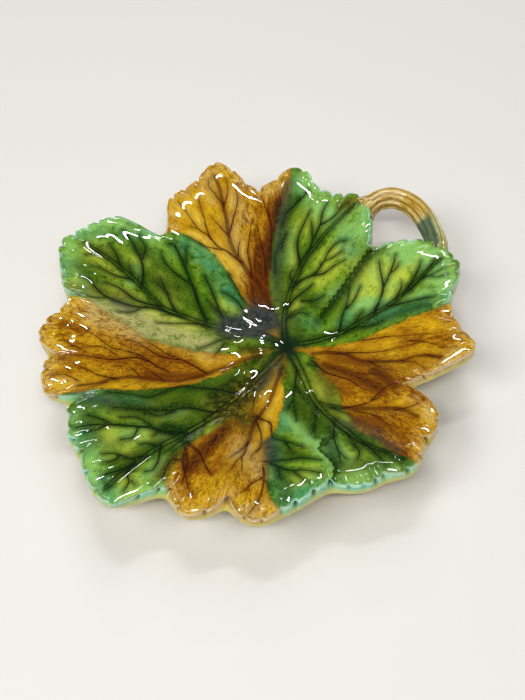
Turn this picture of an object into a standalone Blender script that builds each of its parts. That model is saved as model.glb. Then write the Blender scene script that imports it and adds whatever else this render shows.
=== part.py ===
"""Majolica leaf dish: a pressed earthenware leaf on a foot ring, with a looped stem handle luted to its rim.

Bearings are in degrees, counter-clockwise from +X, round the point where the main veins meet.
Every table of places gives bearings and shares of LEAF_REACH.
"""
import math

import bmesh
import bpy
import numpy as np
from mathutils import Matrix, Vector

# Driving sizes, in metres.
LEAF_REACH = 0.134  # from the meeting point of the veins to the tip of the longest lobe
BOWL_DEPTH = 0.026  # how far the rim stands above the floor of the bowl
BLADE_THICKNESS = 0.005
FLOOR_CLEARANCE = 0.004  # from the table to the underside of the floor
LUTING_GAP = 0.0003  # between two pieces that slip joins

# The rim: a thick lip with teeth cut into its upper edge and a smooth lower edge.
LIP_HEIGHT = 0.0080
LIP_WIDTH = 0.006
LIP_ROUND = 0.0012
LIP_FLARE = 0.0012  # the lower edge lies this far outside the smoothed outline
TOOTH_PITCH = 0.0098
TOOTH_DEPTH = 0.0021
LOWER_EDGE_SMOOTHING_DEG = 2.0
BOWL_SMOOTHING_DEG = 14.0

# The bowl: a nearly flat floor, then blades that rise and flatten towards the rim.
FLOOR_SHARE = 0.18
ROUNDED_RISE_SHARE = 0.6
OUTLINE_STEPS = 3600

# Relief of the upper face.
FOLD_RISE = 0.004
LAP_RISE = 0.0024
LAP_EDGE = 0.0012
LAP_RUN = 0.016  # a lapped blade sinks back to its neighbour's level over this distance
TROUGH_DEPTH = 0.0016
TROUGH_HALF_WIDTH = 0.006
TROUGH_START = 0.012
TROUGH_ONSET_SHARE = 0.1

# The foot ring.
FOOT_OUTER_RADIUS = 0.043
FOOT_WALL = 0.0055
FOOT_EDGE_ROUND = 0.0009
FOOT_SHIFT = 0.009  # from the meeting point of the veins, along the leaf's axis
FOOT_TAPER = 0.0015
LEAF_AXIS_DEG = 225.0
FOOT_SEGMENTS = 64

# The stem handle.
STEM_RADIUS = 0.0060
STEM_TIP_RADIUS = 0.0053
STEM_ROOT_RADIUS = 0.0042
FLUTE_DEPTH = 0.0006
FLUTES = 9
STEPS_PER_FLUTE = 4
STEM_RINGS = 30
STEM_REACH_INTO_RIM = 0.004
STEM_CROWN_DROP = 0.0032  # from the rim's level down to the middle line at the top of the loop
STEM_PRESS = 0.0003  # how far the root is pressed into the underside before it is cut to it

# The luting: soft clay worked round each end of the stem.
COLLAR_LENGTH = 0.0065
COLLAR_FLARE = 0.0026
COLLAR_EDGE = 0.0010
COLLAR_UP_SHARE = 0.45  # the collar stands out less above and below the stem than beside it
SADDLE_LENGTH = 0.026
SADDLE_WIDTH = 0.0175
SADDLE_DEPTH = 0.0104
LUTING_SEGMENTS = 28

# Outline of the upper edge, teeth left out: (bearing, share of LEAF_REACH), lobe by lobe.
OUTLINE_SHARES = [
    # right brown lobe, upper half
    (-1.5, 0.632), (-6.2, 0.640), (-11.0, 0.664), (-14.8, 0.695), (-18.6, 0.728), (-23.3, 0.683),
    (-28.0, 0.627), (-33.0, 0.577), (-37.6, 0.547), (-40.1, 0.543),
    # right brown lobe, lower half
    (-41.5, 0.615), (-43.6, 0.680), (-46.2, 0.720), (-49.5, 0.736), (-54.5, 0.745), (-60.0, 0.792),
    # lower right green lobe
    (-64.0, 0.795), (-68.5, 0.767), (-73.0, 0.776), (-79.0, 0.757), (-83.2, 0.728),
    (-87.5, 0.750), (-92.0, 0.784),
    # lower brown lobe, in two halves
    (-97.0, 0.820), (-101.5, 0.858), (-105.5, 0.849), (-110.0, 0.802),
    (-113.5, 0.851), (-118.5, 0.890), (-122.0, 0.870), (-124.8, 0.832),
    # lower left green lobe, the leaf's end
    (-128.0, 0.862), (-130.5, 0.922), (-133.2, 0.993), (-137.5, 0.985), (-143.0, 0.963),
    (-148.0, 0.928), (-153.0, 0.929), (-157.0, 0.900), (-159.5, 0.890), (-161.4, 0.838),
    # left brown lobe, in two halves
    (-163.0, 0.877), (-166.7, 0.948), (-171.0, 0.944), (-174.5, 0.925), (-176.8, 0.890),
    (-179.5, 0.925), (-182.0, 0.951), (-186.5, 0.931), (-190.5, 0.882), (-194.7, 0.853),
    # upper left green lobe
    (-198.0, 0.903), (-202.5, 0.940), (-210.0, 1.000), (-214.5, 0.970), (-219.5, 0.929),
    (-223.5, 0.880), (-225.2, 0.798), (-226.0, 0.731), (-227.6, 0.683),
    # upper brown lobe
    (-231.0, 0.690), (-234.5, 0.746), (-239.5, 0.806), (-246.0, 0.813), (-251.0, 0.843),
    (-255.5, 0.877), (-259.5, 0.821), (-263.5, 0.724), (-266.0, 0.701), (-270.5, 0.716), (-275.0, 0.743),
    # upper right green lobe
    (-279.5, 0.776), (-282.5, 0.765), (-287.0, 0.694), (-293.0, 0.672), (-301.0, 0.687),
    (-306.5, 0.657), (-313.0, 0.582), (-318.5, 0.507),
    # right green lobe
    (-322.5, 0.549), (-327.0, 0.604), (-334.0, 0.679), (-340.0, 0.709), (-345.5, 0.724),
    (-351.0, 0.694), (-355.5, 0.653),
]

# Lines that run outwards, as (share of LEAF_REACH, bearing) from the inner end to the outer.
TROUGH_SHARES = {
    "upper_left": [(0.10, 145.0), (0.20, 154.0), (0.50, 156.5), (0.65, 152.0), (0.90, 149.0)],
    "top": [(0.10, 108.0), (0.25, 112.0), (0.50, 111.5), (0.65, 108.0), (0.80, 105.0)],
    "upper_right": [(0.10, 93.0), (0.25, 82.0), (0.40, 74.0), (0.55, 67.5), (0.64, 61.0)],
    "right": [(0.10, 6.0), (0.25, 8.8), (0.45, 12.0), (0.65, 17.5)],
    "right_low": [(0.30, -62.0), (0.40, -60.0), (0.50, -52.0), (0.62, -46.5)],
    "lower_right": [(0.10, -71.0), (0.30, -73.5), (0.50, -70.0), (0.75, -62.0)],
    "bottom_inner": [(0.20, -110.0), (0.45, -108.0), (0.60, -104.0), (0.80, -102.0)],
    "bottom_outer": [(0.20, -112.0), (0.45, -113.0), (0.60, -118.0), (0.82, -119.5)],
    "lower_left": [(0.10, -133.0), (0.30, -134.5), (0.60, -135.5), (0.95, -136.3)],
    "left": [(0.15, -165.5), (0.45, -164.0), (0.70, -167.0), (0.85, -167.0)],
}
# (inner share, bearings along it, height as a share of FOLD_RISE, half width in metres)
FOLD_NARROW = 0.0045
FOLD_BROAD = 0.0075
FOLD_SHARES = [
    ([(0.45, 172.0), (0.62, 169.0), (0.85, 165.5)], 0.80, FOLD_NARROW),
    ([(0.30, 126.0), (0.50, 126.5), (0.70, 130.0)], 0.55, FOLD_BROAD),
    ([(0.30, 97.0), (0.50, 90.0), (0.74, 84.0)], 0.70, FOLD_NARROW),
    ([(0.35, -3.5), (0.50, -1.5), (0.64, -1.5)], 0.40, FOLD_BROAD),
    ([(0.30, -33.0), (0.45, -38.0), (0.56, -40.0)], 0.75, FOLD_BROAD),
    ([(0.52, -115.0), (0.65, -113.0), (0.80, -110.0)], 0.80, FOLD_NARROW),
    ([(0.50, -128.5), (0.65, -127.0), (0.84, -125.0)], 0.50, FOLD_BROAD),
    ([(0.45, -160.0), (0.65, -162.5), (0.86, -162.0)], 0.70, FOLD_NARROW),
]
# A lapped edge: the blade on the side of higher bearings stands above its neighbour, or below it.
LAP_SHARES = [
    ([(0.18, 41.0), (0.35, 41.0), (0.50, 41.2)], 1.0),
    ([(0.50, -80.5), (0.56, -84.0), (0.62, -81.5), (0.66, -80.6), (0.73, -83.2)], -1.0),
]

# The leaf's rings of vertices, as (share of the way to the rim, vertices).
UPPER_RING_SHARES = [
    (0.07, 24), (0.16, 48), (0.27, 96), (0.39, 96), (0.51, 192), (0.63, 192),
    (0.75, 192), (0.86, 384), (0.94, 384), (1.0, 384),
]
LOWER_RING_SHARES = [
    (1.0, 192), (0.86, 192), (0.71, 96), (0.57, 96), (0.43, 96), (0.29, 48), (0.15, 24),
]

# The stem's middle line, from its tip at the rim over the loop to its root under the right green
# lobe: x and y as shares of LEAF_REACH, then the share of the way up from just under the lip to
# the crown of the loop. The last point is the root, which lies against the underside.
STEM_PATH_SHARES = [
    (0.355, 0.524, 0.56), (0.385, 0.542, 0.70), (0.415, 0.554, 0.84), (0.450, 0.565, 0.96),
    (0.500, 0.566, 1.00), (0.546, 0.547, 0.95), (0.584, 0.515, 0.85), (0.614, 0.471, 0.68),
    (0.635, 0.421, 0.44), (0.648, 0.373, 0.20), (0.650, 0.328, 0.04), (0.637, 0.283, 0.00),
    (0.602, 0.240, 0.00), (0.555, 0.205, 0.00),
]

COLOURS = {
    "leaf_glaze": ((0.13, 0.26, 0.03, 1.0), 0.12),
    "stem_glaze": ((0.42, 0.24, 0.04, 1.0), 0.12),
    "foot_clay": ((0.55, 0.40, 0.24, 1.0), 0.55),
}


def clear_scene():
    """Removes the objects that Blender starts with."""
    for thing in list(bpy.data.objects):
        bpy.data.objects.remove(thing)


def glaze(name):
    """A plain glossy or matt material of the piece's main colour."""
    material = bpy.data.materials.new(name)
    material.use_nodes = True
    shader = material.node_tree.nodes["Principled BSDF"]
    colour, roughness = COLOURS[name]
    shader.inputs["Base Color"].default_value = colour
    shader.inputs["Roughness"].default_value = roughness
    shader.inputs["Metallic"].default_value = 0.0
    return material


def monotone_slopes(places, values):
    """Slopes that carry a cubic through the values without overshooting a tip or a notch."""
    step = np.diff(places)
    chord = np.diff(values) / step
    slopes = np.zeros_like(values)
    before, after = chord[:-1], chord[1:]
    same_way = before * after > 0
    weight_a = 2 * step[1:] + step[:-1]
    weight_b = step[1:] + 2 * step[:-1]
    safe_before = np.where(same_way, before, 1.0)
    safe_after = np.where(same_way, after, 1.0)
    mean = (weight_a + weight_b) / (weight_a / safe_before + weight_b / safe_after)
    slopes[1:-1] = np.where(same_way, mean, 0.0)
    return slopes


def closed_curve(points, bearings):
    """A smooth closed curve through (bearing, value) points, read at the given bearings."""
    ordered = sorted((bearing % 360.0, value) for bearing, value in points)
    turn = np.array([p[0] for p in ordered])
    value = np.array([p[1] for p in ordered])
    places = np.concatenate([turn - 360.0, turn, turn + 360.0])
    values = np.tile(value, 3)
    slopes = monotone_slopes(places, values)
    index = np.clip(np.searchsorted(places, bearings) - 1, 0, len(places) - 2)
    width = places[index + 1] - places[index]
    u = (bearings - places[index]) / width
    start = (1 + 2 * u) * (1 - u) ** 2 * values[index] + u * (1 - u) ** 2 * width * slopes[index]
    end = u**2 * (3 - 2 * u) * values[index + 1] + u**2 * (u - 1) * width * slopes[index + 1]
    return start + end


def smoothed(reach, spread_deg):
    """The closed outline, averaged over neighbouring bearings."""
    step = 360.0 / len(reach)
    offsets = np.minimum(np.arange(len(reach)), len(reach) - np.arange(len(reach))) * step
    kernel = np.exp(-0.5 * (offsets / spread_deg) ** 2)
    kernel /= kernel.sum()
    return np.real(np.fft.ifft(np.fft.fft(reach) * np.fft.fft(kernel)))


def tooth_cut(reach, bearings):
    """How far each bearing of the upper edge lies from the plain outline: scallops of uneven size."""
    run = np.radians(np.append(bearings[1:], bearings[0] + 360.0) - bearings)
    rise = np.append(reach[1:], reach[0]) - reach
    steps = np.hypot(run * reach, rise)
    perimeter = steps.sum()
    along = (np.cumsum(steps) - steps) / perimeter
    count = round(perimeter / TOOTH_PITCH)
    wander = 0.45 * np.sin(7 * math.tau * along) + 0.30 * np.sin(17 * math.tau * along + 1.3)
    phase = (count * along + wander) % 1.0
    scallop = np.sin(math.pi * phase**0.8) ** 0.5
    depth = TOOTH_DEPTH * (0.72 + 0.28 * np.sin(11 * math.tau * along + 0.7))
    facing = run * reach / steps  # teeth fade where the outline runs in towards a notch
    return depth * facing * (scallop - 0.75)


BEARINGS = np.arange(OUTLINE_STEPS) * 360.0 / OUTLINE_STEPS
PLAIN_REACH = closed_curve(OUTLINE_SHARES, BEARINGS) * LEAF_REACH
TOOTHED_REACH = PLAIN_REACH + tooth_cut(PLAIN_REACH, BEARINGS)
LOWER_REACH = smoothed(PLAIN_REACH, LOWER_EDGE_SMOOTHING_DEG) + LIP_FLARE
BOWL_REACH = smoothed(PLAIN_REACH, BOWL_SMOOTHING_DEG)


def at_bearing(table, bearings):
    """One value of an outline table for each bearing."""
    return np.interp(np.mod(bearings, 360.0), BEARINGS, table, period=360.0)


def bearing_gap(x, y, line):
    """Signed distance round the centre from an outward line, positive at higher bearings."""
    reach = np.hypot(x, y)
    turn = np.degrees(np.arctan2(y, x))
    shares = [p[0] for p in line]
    line_turn = np.interp(reach / LEAF_REACH, shares, [p[1] for p in line])
    gap = (turn - line_turn + 180.0) % 360.0 - 180.0
    return np.radians(gap) * reach


def ramp(value, low, high):
    """0 below low, 1 above high and a smooth step between."""
    u = np.clip((value - low) / (high - low), 0.0, 1.0)
    return u * u * (3 - 2 * u)


def rise_of_bowl(x, y):
    """Height of the plain bowl above its floor."""
    share = np.hypot(x, y) / at_bearing(BOWL_REACH, np.degrees(np.arctan2(y, x)))
    u = np.clip((share - FLOOR_SHARE) / (1 - FLOOR_SHARE), 0.0, None)
    rounded = np.minimum(u, 1.0) ** 2 * (3 - 2 * np.minimum(u, 1.0))
    return BOWL_DEPTH * (ROUNDED_RISE_SHARE * rounded + (1 - ROUNDED_RISE_SHARE) * u**1.4)


def fold_relief(x, y):
    """Height of the pleats between the lobes, which show on both faces."""
    share = np.hypot(x, y) / LEAF_REACH
    relief = np.zeros_like(share)
    for line, height, half_width in FOLD_SHARES:
        across = np.exp(-((bearing_gap(x, y, line) / half_width) ** 2))
        inner, outer = line[0][0], line[-1][0]
        relief += FOLD_RISE * height * across * ramp(share, inner, 0.4 * inner + 0.6 * outer)
    return relief


def upper_relief(x, y):
    """Lapped edges and the troughs of the main veins, which show on the upper face alone."""
    reach = np.hypot(x, y)
    share = reach / LEAF_REACH
    relief = np.zeros_like(reach)
    for line, side in LAP_SHARES:
        gap = side * bearing_gap(x, y, line)
        inner, outer = line[0][0], line[-1][0]
        run_in = ramp(share, inner, inner + 0.4 * (outer - inner))
        relief += LAP_RISE * run_in * ramp(gap, -LAP_EDGE, LAP_EDGE) * np.exp(-np.abs(gap) / LAP_RUN)
    for line in TROUGH_SHARES.values():
        across = np.exp(-((bearing_gap(x, y, line) / TROUGH_HALF_WIDTH) ** 2))
        outer = line[-1][0] * LEAF_REACH
        fade = ramp(reach, TROUGH_START, 2 * TROUGH_START) * (1 - 0.7 * ramp(reach, 0.85 * outer, 1.1 * outer))
        relief -= TROUGH_DEPTH * across * fade * ramp(share, line[0][0], line[0][0] + TROUGH_ONSET_SHARE)
    return relief


def lower_face(x, y):
    """Height of the underside."""
    return FLOOR_CLEARANCE + rise_of_bowl(x, y) + fold_relief(x, y)


def upper_face(x, y):
    """Height of the upper face."""
    return lower_face(x, y) + BLADE_THICKNESS + upper_relief(x, y)


def new_object(name, bm, frame, material=None, smooth=True):
    """Wraps a finished bmesh as an object under the dish's frame."""
    bmesh.ops.recalc_face_normals(bm, faces=bm.faces)
    mesh = bpy.data.meshes.new(name)
    bm.to_mesh(mesh)
    bm.free()
    if smooth:
        mesh.shade_smooth()
        mesh.set_sharp_from_angle(angle=math.radians(40))
    thing = bpy.data.objects.new(name, mesh)
    bpy.context.scene.collection.objects.link(thing)
    thing.parent = frame
    if material:
        mesh.materials.append(material)
    return thing


def add_ring(bm, count, place):
    """One closed ring of vertices, each moved to its place by its bearing.

    Returns its edges, and what is needed to move its vertices again: them, their bearings and the place.
    """
    verts = bmesh.ops.create_circle(bm, segments=count, radius=LEAF_REACH)["verts"]
    turn = np.degrees(np.arctan2([v.co.y for v in verts], [v.co.x for v in verts]))
    edges = list({edge for vert in verts for edge in vert.link_edges})
    ring = (verts, turn, place)
    move_ring(ring)
    return edges, ring


def move_ring(ring, spare=0.0):
    """Moves a ring's vertices to their places, grown by the spare."""
    verts, turn, place = ring
    for vert, point in zip(verts, np.stack(place(turn, spare), axis=-1)):
        vert.co = point


def skin_rings(bm, rings, spare=0.0, closed=False):
    """Joins neighbouring rings with triangles and caps the ends, then grows the body by the spare.

    The triangles are laid before the rings grow, so a grown body has the same facets as the plain one.
    """
    loops = [edges for edges, _ in rings]
    follow = loops[1:] + loops[:1] if closed else loops[1:]
    for first, second in zip(loops, follow):
        bmesh.ops.bridge_loops(bm, edges=first + second)
    for end in () if closed else (loops[0], loops[-1]):
        bmesh.ops.contextual_create(bm, geom=end)
    bmesh.ops.triangulate(bm, faces=bm.faces, quad_method="FIXED")
    for _, ring in rings if spare else ():
        move_ring(ring, spare)
    return bm


def polar(reach, turn):
    """Plan coordinates of a reach and a bearing."""
    return reach * np.cos(np.radians(turn)), reach * np.sin(np.radians(turn))


def upper_ring(share):
    """Places on the upper face, at a share of the way to the lip."""

    def place(turn, spare):
        near_lip = ramp(share, 0.7, 1.0)
        reach = at_bearing(TOOTHED_REACH, turn) * near_lip + at_bearing(PLAIN_REACH, turn) * (1 - near_lip)
        x, y = polar(share * (reach - LIP_ROUND + spare), turn)
        return x, y, upper_face(x, y) + spare

    return place


def lip_place(turn, spare):
    """Places on the toothed upper edge of the lip."""
    x, y = polar(at_bearing(TOOTHED_REACH, turn) + spare, turn)
    return x, y, upper_face(x, y) - LIP_ROUND + spare


def lower_edge_ring(inset):
    """Places on the smooth lower edge of the lip, or inset from it."""

    def place(turn, spare):
        x, y = polar(at_bearing(LOWER_REACH, turn) - inset + (-spare if inset else spare), turn)
        return x, y, lower_face(x, y) + BLADE_THICKNESS - LIP_HEIGHT - spare

    return place


def lower_ring(share):
    """Places on the underside, at a share of the way to the lip's inner edge."""

    def place(turn, spare):
        x, y = polar(share * (at_bearing(LOWER_REACH, turn) - LIP_WIDTH - spare), turn)
        return x, y, lower_face(x, y) - spare

    return place


def build_leaf_mesh(spare=0.0):
    """The leaf as one closed bmesh. A spare above zero grows it all round, for use as a cutter."""
    bm = bmesh.new()
    rings = [add_ring(bm, count, upper_ring(share)) for share, count in UPPER_RING_SHARES]
    rings.append(add_ring(bm, UPPER_RING_SHARES[-1][1], lip_place))
    rings.append(add_ring(bm, LOWER_RING_SHARES[0][1], lower_edge_ring(0.0)))
    rings.append(add_ring(bm, LOWER_RING_SHARES[0][1], lower_edge_ring(LIP_WIDTH / 2)))
    rings += [add_ring(bm, count, lower_ring(share)) for share, count in LOWER_RING_SHARES]
    return skin_rings(bm, rings, spare)


def foot_centre():
    """Plan coordinates of the foot ring's centre."""
    return polar(FOOT_SHIFT, LEAF_AXIS_DEG)


def build_foot(frame):
    """The foot ring: flat below, and tall enough for the underside to be cut from its top."""
    inner = FOOT_OUTER_RADIUS - FOOT_WALL
    middle_x, middle_y = foot_centre()
    # (radius, height) from the inner top edge down, across the flat and up the outer side
    profile = [
        (inner + FOOT_TAPER / 2, None), (inner, FOOT_EDGE_ROUND), (inner + FOOT_EDGE_ROUND, 0.0),
        (FOOT_OUTER_RADIUS - FOOT_EDGE_ROUND, 0.0), (FOOT_OUTER_RADIUS, FOOT_EDGE_ROUND),
        (FOOT_OUTER_RADIUS + FOOT_TAPER, None),
    ]
    bm = bmesh.new()
    rings = []
    for radius, height in profile:

        def place(turn, spare, radius=radius, height=height):
            x, y = polar(radius, turn)
            x, y = x + middle_x, y + middle_y
            top = lower_face(x, y) + BLADE_THICKNESS / 4
            return x, y, top if height is None else np.full_like(x, height)

        rings.append(add_ring(bm, FOOT_SEGMENTS, place))
    return new_object("foot_ring", skin_rings(bm, rings, closed=True), frame, glaze("foot_clay"))


def catmull_rom(knots, values, places):
    """A cubic through evenly numbered values, read at the given places."""
    padded = np.concatenate([[2 * values[0] - values[1]], values, [2 * values[-1] - values[-2]]])
    index = np.clip(places.astype(int), 0, len(knots) - 2)
    u = places - index
    a, b, c, d = (padded[index + k] for k in range(4))
    return b + 0.5 * u * (c - a + u * (2 * a - 5 * b + 4 * c - d + u * (3 * (b - c) + d - a)))


def stem_curve():
    """Close points on a smooth curve through the stem's own points, and the run to each."""
    shares = np.array(STEM_PATH_SHARES)
    rim_level = FLOOR_CLEARANCE + BLADE_THICKNESS + BOWL_DEPTH
    under_lip = rim_level - LIP_HEIGHT - STEM_ROOT_RADIUS - 2 * LUTING_GAP
    crown = rim_level - STEM_CROWN_DROP
    points = shares * LEAF_REACH
    points[:, 2] = under_lip + (crown - under_lip) * shares[:, 2]
    points[-1, 2] = lower_face(points[-1, 0], points[-1, 1]) - STEM_ROOT_RADIUS + STEM_PRESS
    knots = np.arange(len(points), dtype=float)
    fine = np.linspace(0, len(points) - 1, 16 * len(points))
    dense = np.stack([catmull_rom(knots, points[:, k], fine) for k in range(3)], axis=-1)
    return dense, np.concatenate([[0.0], np.cumsum(np.linalg.norm(np.diff(dense, axis=0), axis=1))])


def stem_frames(runs=None):
    """At each run along the stem: its centre, its sideways and upward directions, and its radius."""
    dense, run = stem_curve()
    if runs is None:
        runs = np.linspace(0, run[-1], STEM_RINGS)
    slopes = np.gradient(dense, run, axis=0)
    points = np.stack([np.interp(runs, run, dense[:, k]) for k in range(3)], axis=-1)
    tangents = np.stack([np.interp(runs, run, slopes[:, k]) for k in range(3)], axis=-1)
    frames = []
    for point, tangent, along in zip(points, tangents, runs / run[-1]):
        forward = Vector(tangent).normalized()
        side = forward.cross(Vector((0, 0, 1))).normalized()
        up = side.cross(forward).normalized()
        tip = 1 - ramp(along, 0.0, 0.25)
        root = ramp(along, 0.70, 1.0)
        radius = STEM_RADIUS + (STEM_TIP_RADIUS - STEM_RADIUS) * tip + (STEM_ROOT_RADIUS - STEM_RADIUS) * root
        frames.append((Vector(point), side, up, radius))
    return frames


def build_stem_mesh(spare=0.0):
    """The fluted stem as one closed bmesh, grown by the spare when it serves as a cutter."""
    bm = bmesh.new()
    count = FLUTES * STEPS_PER_FLUTE
    rings = []
    for centre, side, up, radius in stem_frames():

        def place(turn, spare, centre=centre, side=side, up=up, radius=radius):
            angle = np.radians(turn)
            bulge = radius - FLUTE_DEPTH * (1 - np.cos(FLUTES * angle)) / 2 + spare
            points = [centre + (side * math.cos(a) + up * math.sin(a)) * b for a, b in zip(angle, bulge)]
            return tuple(np.array([p[k] for p in points]) for k in range(3))

        rings.append(add_ring(bm, count, place))
    return skin_rings(bm, rings, spare)


def cut_from(thing, cutter):
    """Takes the cutter's space out of the piece."""
    modifier = thing.modifiers.new("room_for_" + cutter.name, "BOOLEAN")
    modifier.operation = "DIFFERENCE"
    modifier.solver = "EXACT"
    modifier.object = cutter


def as_cutter(thing):
    """Keeps a helper shape out of the model and shows it as wire."""
    thing.hide_render = True
    thing.display_type = "WIRE"
    return thing


def build_collar(frame, material):
    """The luting round the stem's tip: a fillet that flares towards the rim it is pressed against."""
    shares = np.array([0.0, 0.25, 0.5, 0.75, 1.0])
    flares = COLLAR_EDGE + (COLLAR_FLARE - COLLAR_EDGE) * (1 - shares) ** 2
    bm = bmesh.new()
    rings = []
    for flare, (middle, side, up, radius) in zip(
        flares, stem_frames(STEM_REACH_INTO_RIM + shares * COLLAR_LENGTH)
    ):

        def place(turn, spare, flare=flare, middle=middle, side=side, up=up, radius=radius):
            wide, high = radius + flare, radius + max(flare * COLLAR_UP_SHARE, COLLAR_EDGE)
            points = [middle + side * math.cos(a) * wide + up * math.sin(a) * high for a in np.radians(turn)]
            return tuple(np.array([p[k] for p in points]) for k in range(3))

        rings.append(add_ring(bm, LUTING_SEGMENTS, place))
    return new_object("tip_luting", skin_rings(bm, rings), frame, material)


def build_saddle(frame, material):
    """The luting round the stem's root: a soft pad that beds the root against the underside."""
    centre, side, _, _ = stem_frames()[-1]
    seat = lower_face(centre.x, centre.y)
    slope_x = (lower_face(centre.x + LUTING_GAP, centre.y) - seat) / LUTING_GAP
    slope_y = (lower_face(centre.x, centre.y + LUTING_GAP) - seat) / LUTING_GAP
    up = Vector((-slope_x, -slope_y, 1)).normalized()
    ahead = up.cross(side).normalized()
    side = ahead.cross(up)
    middle = Vector((centre.x, centre.y, seat)) + up * (BLADE_THICKNESS / 2 - SADDLE_DEPTH / 2)
    bm = bmesh.new()
    made = bmesh.ops.create_uvsphere(bm, u_segments=LUTING_SEGMENTS, v_segments=LUTING_SEGMENTS // 2, radius=1.0)
    shape = Matrix((ahead * SADDLE_LENGTH, side * SADDLE_WIDTH, up * SADDLE_DEPTH)).transposed() * 0.5
    bmesh.ops.transform(bm, matrix=Matrix.Translation(middle) @ shape.to_4x4(), verts=made["verts"])
    return new_object("root_luting", bm, frame, material)


def plan_middle():
    """The middle of the dish's plan, handle included, which the frame brings to the origin."""
    x, y = polar(TOOTHED_REACH, BEARINGS)
    low_x, low_y = polar(LOWER_REACH, BEARINGS)
    rims = [(centre, radius) for centre, _, _, radius in stem_frames()]
    xs = np.concatenate([x, low_x, [c.x + r for c, r in rims], [c.x - r for c, r in rims]])
    ys = np.concatenate([y, low_y, [c.y + r for c, r in rims], [c.y - r for c, r in rims]])
    return (xs.min() + xs.max()) / 2, (ys.min() + ys.max()) / 2


def build():
    """Makes every piece of the dish."""
    clear_scene()
    frame = bpy.data.objects.new("dish_frame", None)
    bpy.context.scene.collection.objects.link(frame)
    middle_x, middle_y = plan_middle()
    frame.location = (-middle_x, -middle_y, 0)

    stem_glaze = glaze("stem_glaze")
    new_object("leaf_dish", build_leaf_mesh(), frame, glaze("leaf_glaze"))
    foot = build_foot(frame)
    stem = new_object("stem_handle", build_stem_mesh(), frame, stem_glaze)
    collar = build_collar(frame, stem_glaze)
    saddle = build_saddle(frame, stem_glaze)

    leaf_room = as_cutter(new_object("leaf_room", build_leaf_mesh(LUTING_GAP), frame))
    stem_room = as_cutter(new_object("stem_room", build_stem_mesh(LUTING_GAP), frame))
    for piece in (foot, stem, collar, saddle):
        cut_from(piece, leaf_room)
    for piece in (collar, saddle):
        cut_from(piece, stem_room)


build()
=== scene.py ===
"""Dresses the majolica leaf dish: the ribbed leaf, the looped stem with its luting, and the foot ring.

Bearings are in degrees, counter-clockwise from +X, round the point where the main ribs meet. Rows of
(percent, bearing) give places in hundredths of the leaf's reach. Lengths are in metres, and those that end
in mm are in millimetres, which the glazes work in.
"""
from __future__ import annotations

import logging
import math
from dataclasses import dataclass, field
from enum import Enum
from typing import Callable

import bmesh
import bpy
import numpy as np
from mathutils import Matrix, Vector, kdtree

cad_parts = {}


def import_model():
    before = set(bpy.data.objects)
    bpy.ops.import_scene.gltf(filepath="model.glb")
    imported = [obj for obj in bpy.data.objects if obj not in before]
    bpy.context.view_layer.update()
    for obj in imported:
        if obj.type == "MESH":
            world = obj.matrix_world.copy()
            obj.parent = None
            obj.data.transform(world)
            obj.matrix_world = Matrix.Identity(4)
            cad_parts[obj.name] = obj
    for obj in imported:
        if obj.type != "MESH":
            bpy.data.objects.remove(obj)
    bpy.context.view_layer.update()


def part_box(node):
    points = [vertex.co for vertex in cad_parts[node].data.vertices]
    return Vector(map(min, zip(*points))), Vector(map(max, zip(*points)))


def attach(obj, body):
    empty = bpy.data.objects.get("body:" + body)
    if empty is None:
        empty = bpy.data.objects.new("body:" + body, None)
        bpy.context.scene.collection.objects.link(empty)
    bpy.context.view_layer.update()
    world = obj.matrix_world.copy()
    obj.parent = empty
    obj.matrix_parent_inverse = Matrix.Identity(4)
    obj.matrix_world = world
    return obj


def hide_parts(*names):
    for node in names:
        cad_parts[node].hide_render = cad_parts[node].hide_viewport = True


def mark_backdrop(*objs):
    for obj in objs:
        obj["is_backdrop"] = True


LOG = logging.getLogger("leaf_dish")
MM = 0.001
# What is read where no vein or lap is near: their distance, and a vein's half width.
FAR_MM = 40.0
HAIR_MM = 0.3

Grid = np.ndarray
Row = tuple[tuple[float, float], ...]
Flat = tuple[float, ...]
Span = tuple[float, float]
Placed = tuple[Grid, Grid, Grid]

# Outline of the upper edge, teeth left out, clockwise: (bearing, share of the leaf's reach).
OUTLINE: Row = (
    (-1.5, .632), (-6.2, .640), (-11, .664), (-14.8, .695), (-18.6, .728), (-23.3, .683), (-28, .627),
    (-33, .577), (-37.6, .547), (-40.1, .543), (-41.5, .615), (-43.6, .680), (-46.2, .720), (-49.5, .736),
    (-54.5, .745), (-60, .792), (-64, .795), (-68.5, .767), (-73, .776), (-79, .757), (-83.2, .728),
    (-87.5, .750), (-92, .784), (-97, .820), (-101.5, .858), (-105.5, .849), (-110, .802), (-113.5, .851),
    (-118.5, .890), (-122, .870), (-124.8, .832), (-128, .862), (-130.5, .922), (-133.2, .993),
    (-137.5, .985), (-143, .963), (-148, .928), (-153, .929), (-157, .900), (-159.5, .890), (-161.4, .838),
    (-163, .877), (-166.7, .948), (-171, .944), (-174.5, .925), (-176.8, .890), (-179.5, .925),
    (-182, .951), (-186.5, .931), (-190.5, .882), (-194.7, .853), (-198, .903), (-202.5, .940),
    (-210, 1.000), (-214.5, .970), (-219.5, .929), (-223.5, .880), (-225.2, .798), (-226, .731),
    (-227.6, .683), (-231, .690), (-234.5, .746), (-239.5, .806), (-246, .813), (-251, .843),
    (-255.5, .877), (-259.5, .821), (-263.5, .724), (-266, .701), (-270.5, .716), (-275, .743),
    (-279.5, .776), (-282.5, .765), (-287, .694), (-293, .672), (-301, .687), (-306.5, .657), (-313, .582),
    (-318.5, .507), (-322.5, .549), (-327, .604), (-334, .679), (-340, .709), (-345.5, .724), (-351, .694),
    (-355.5, .653),
)

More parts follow.
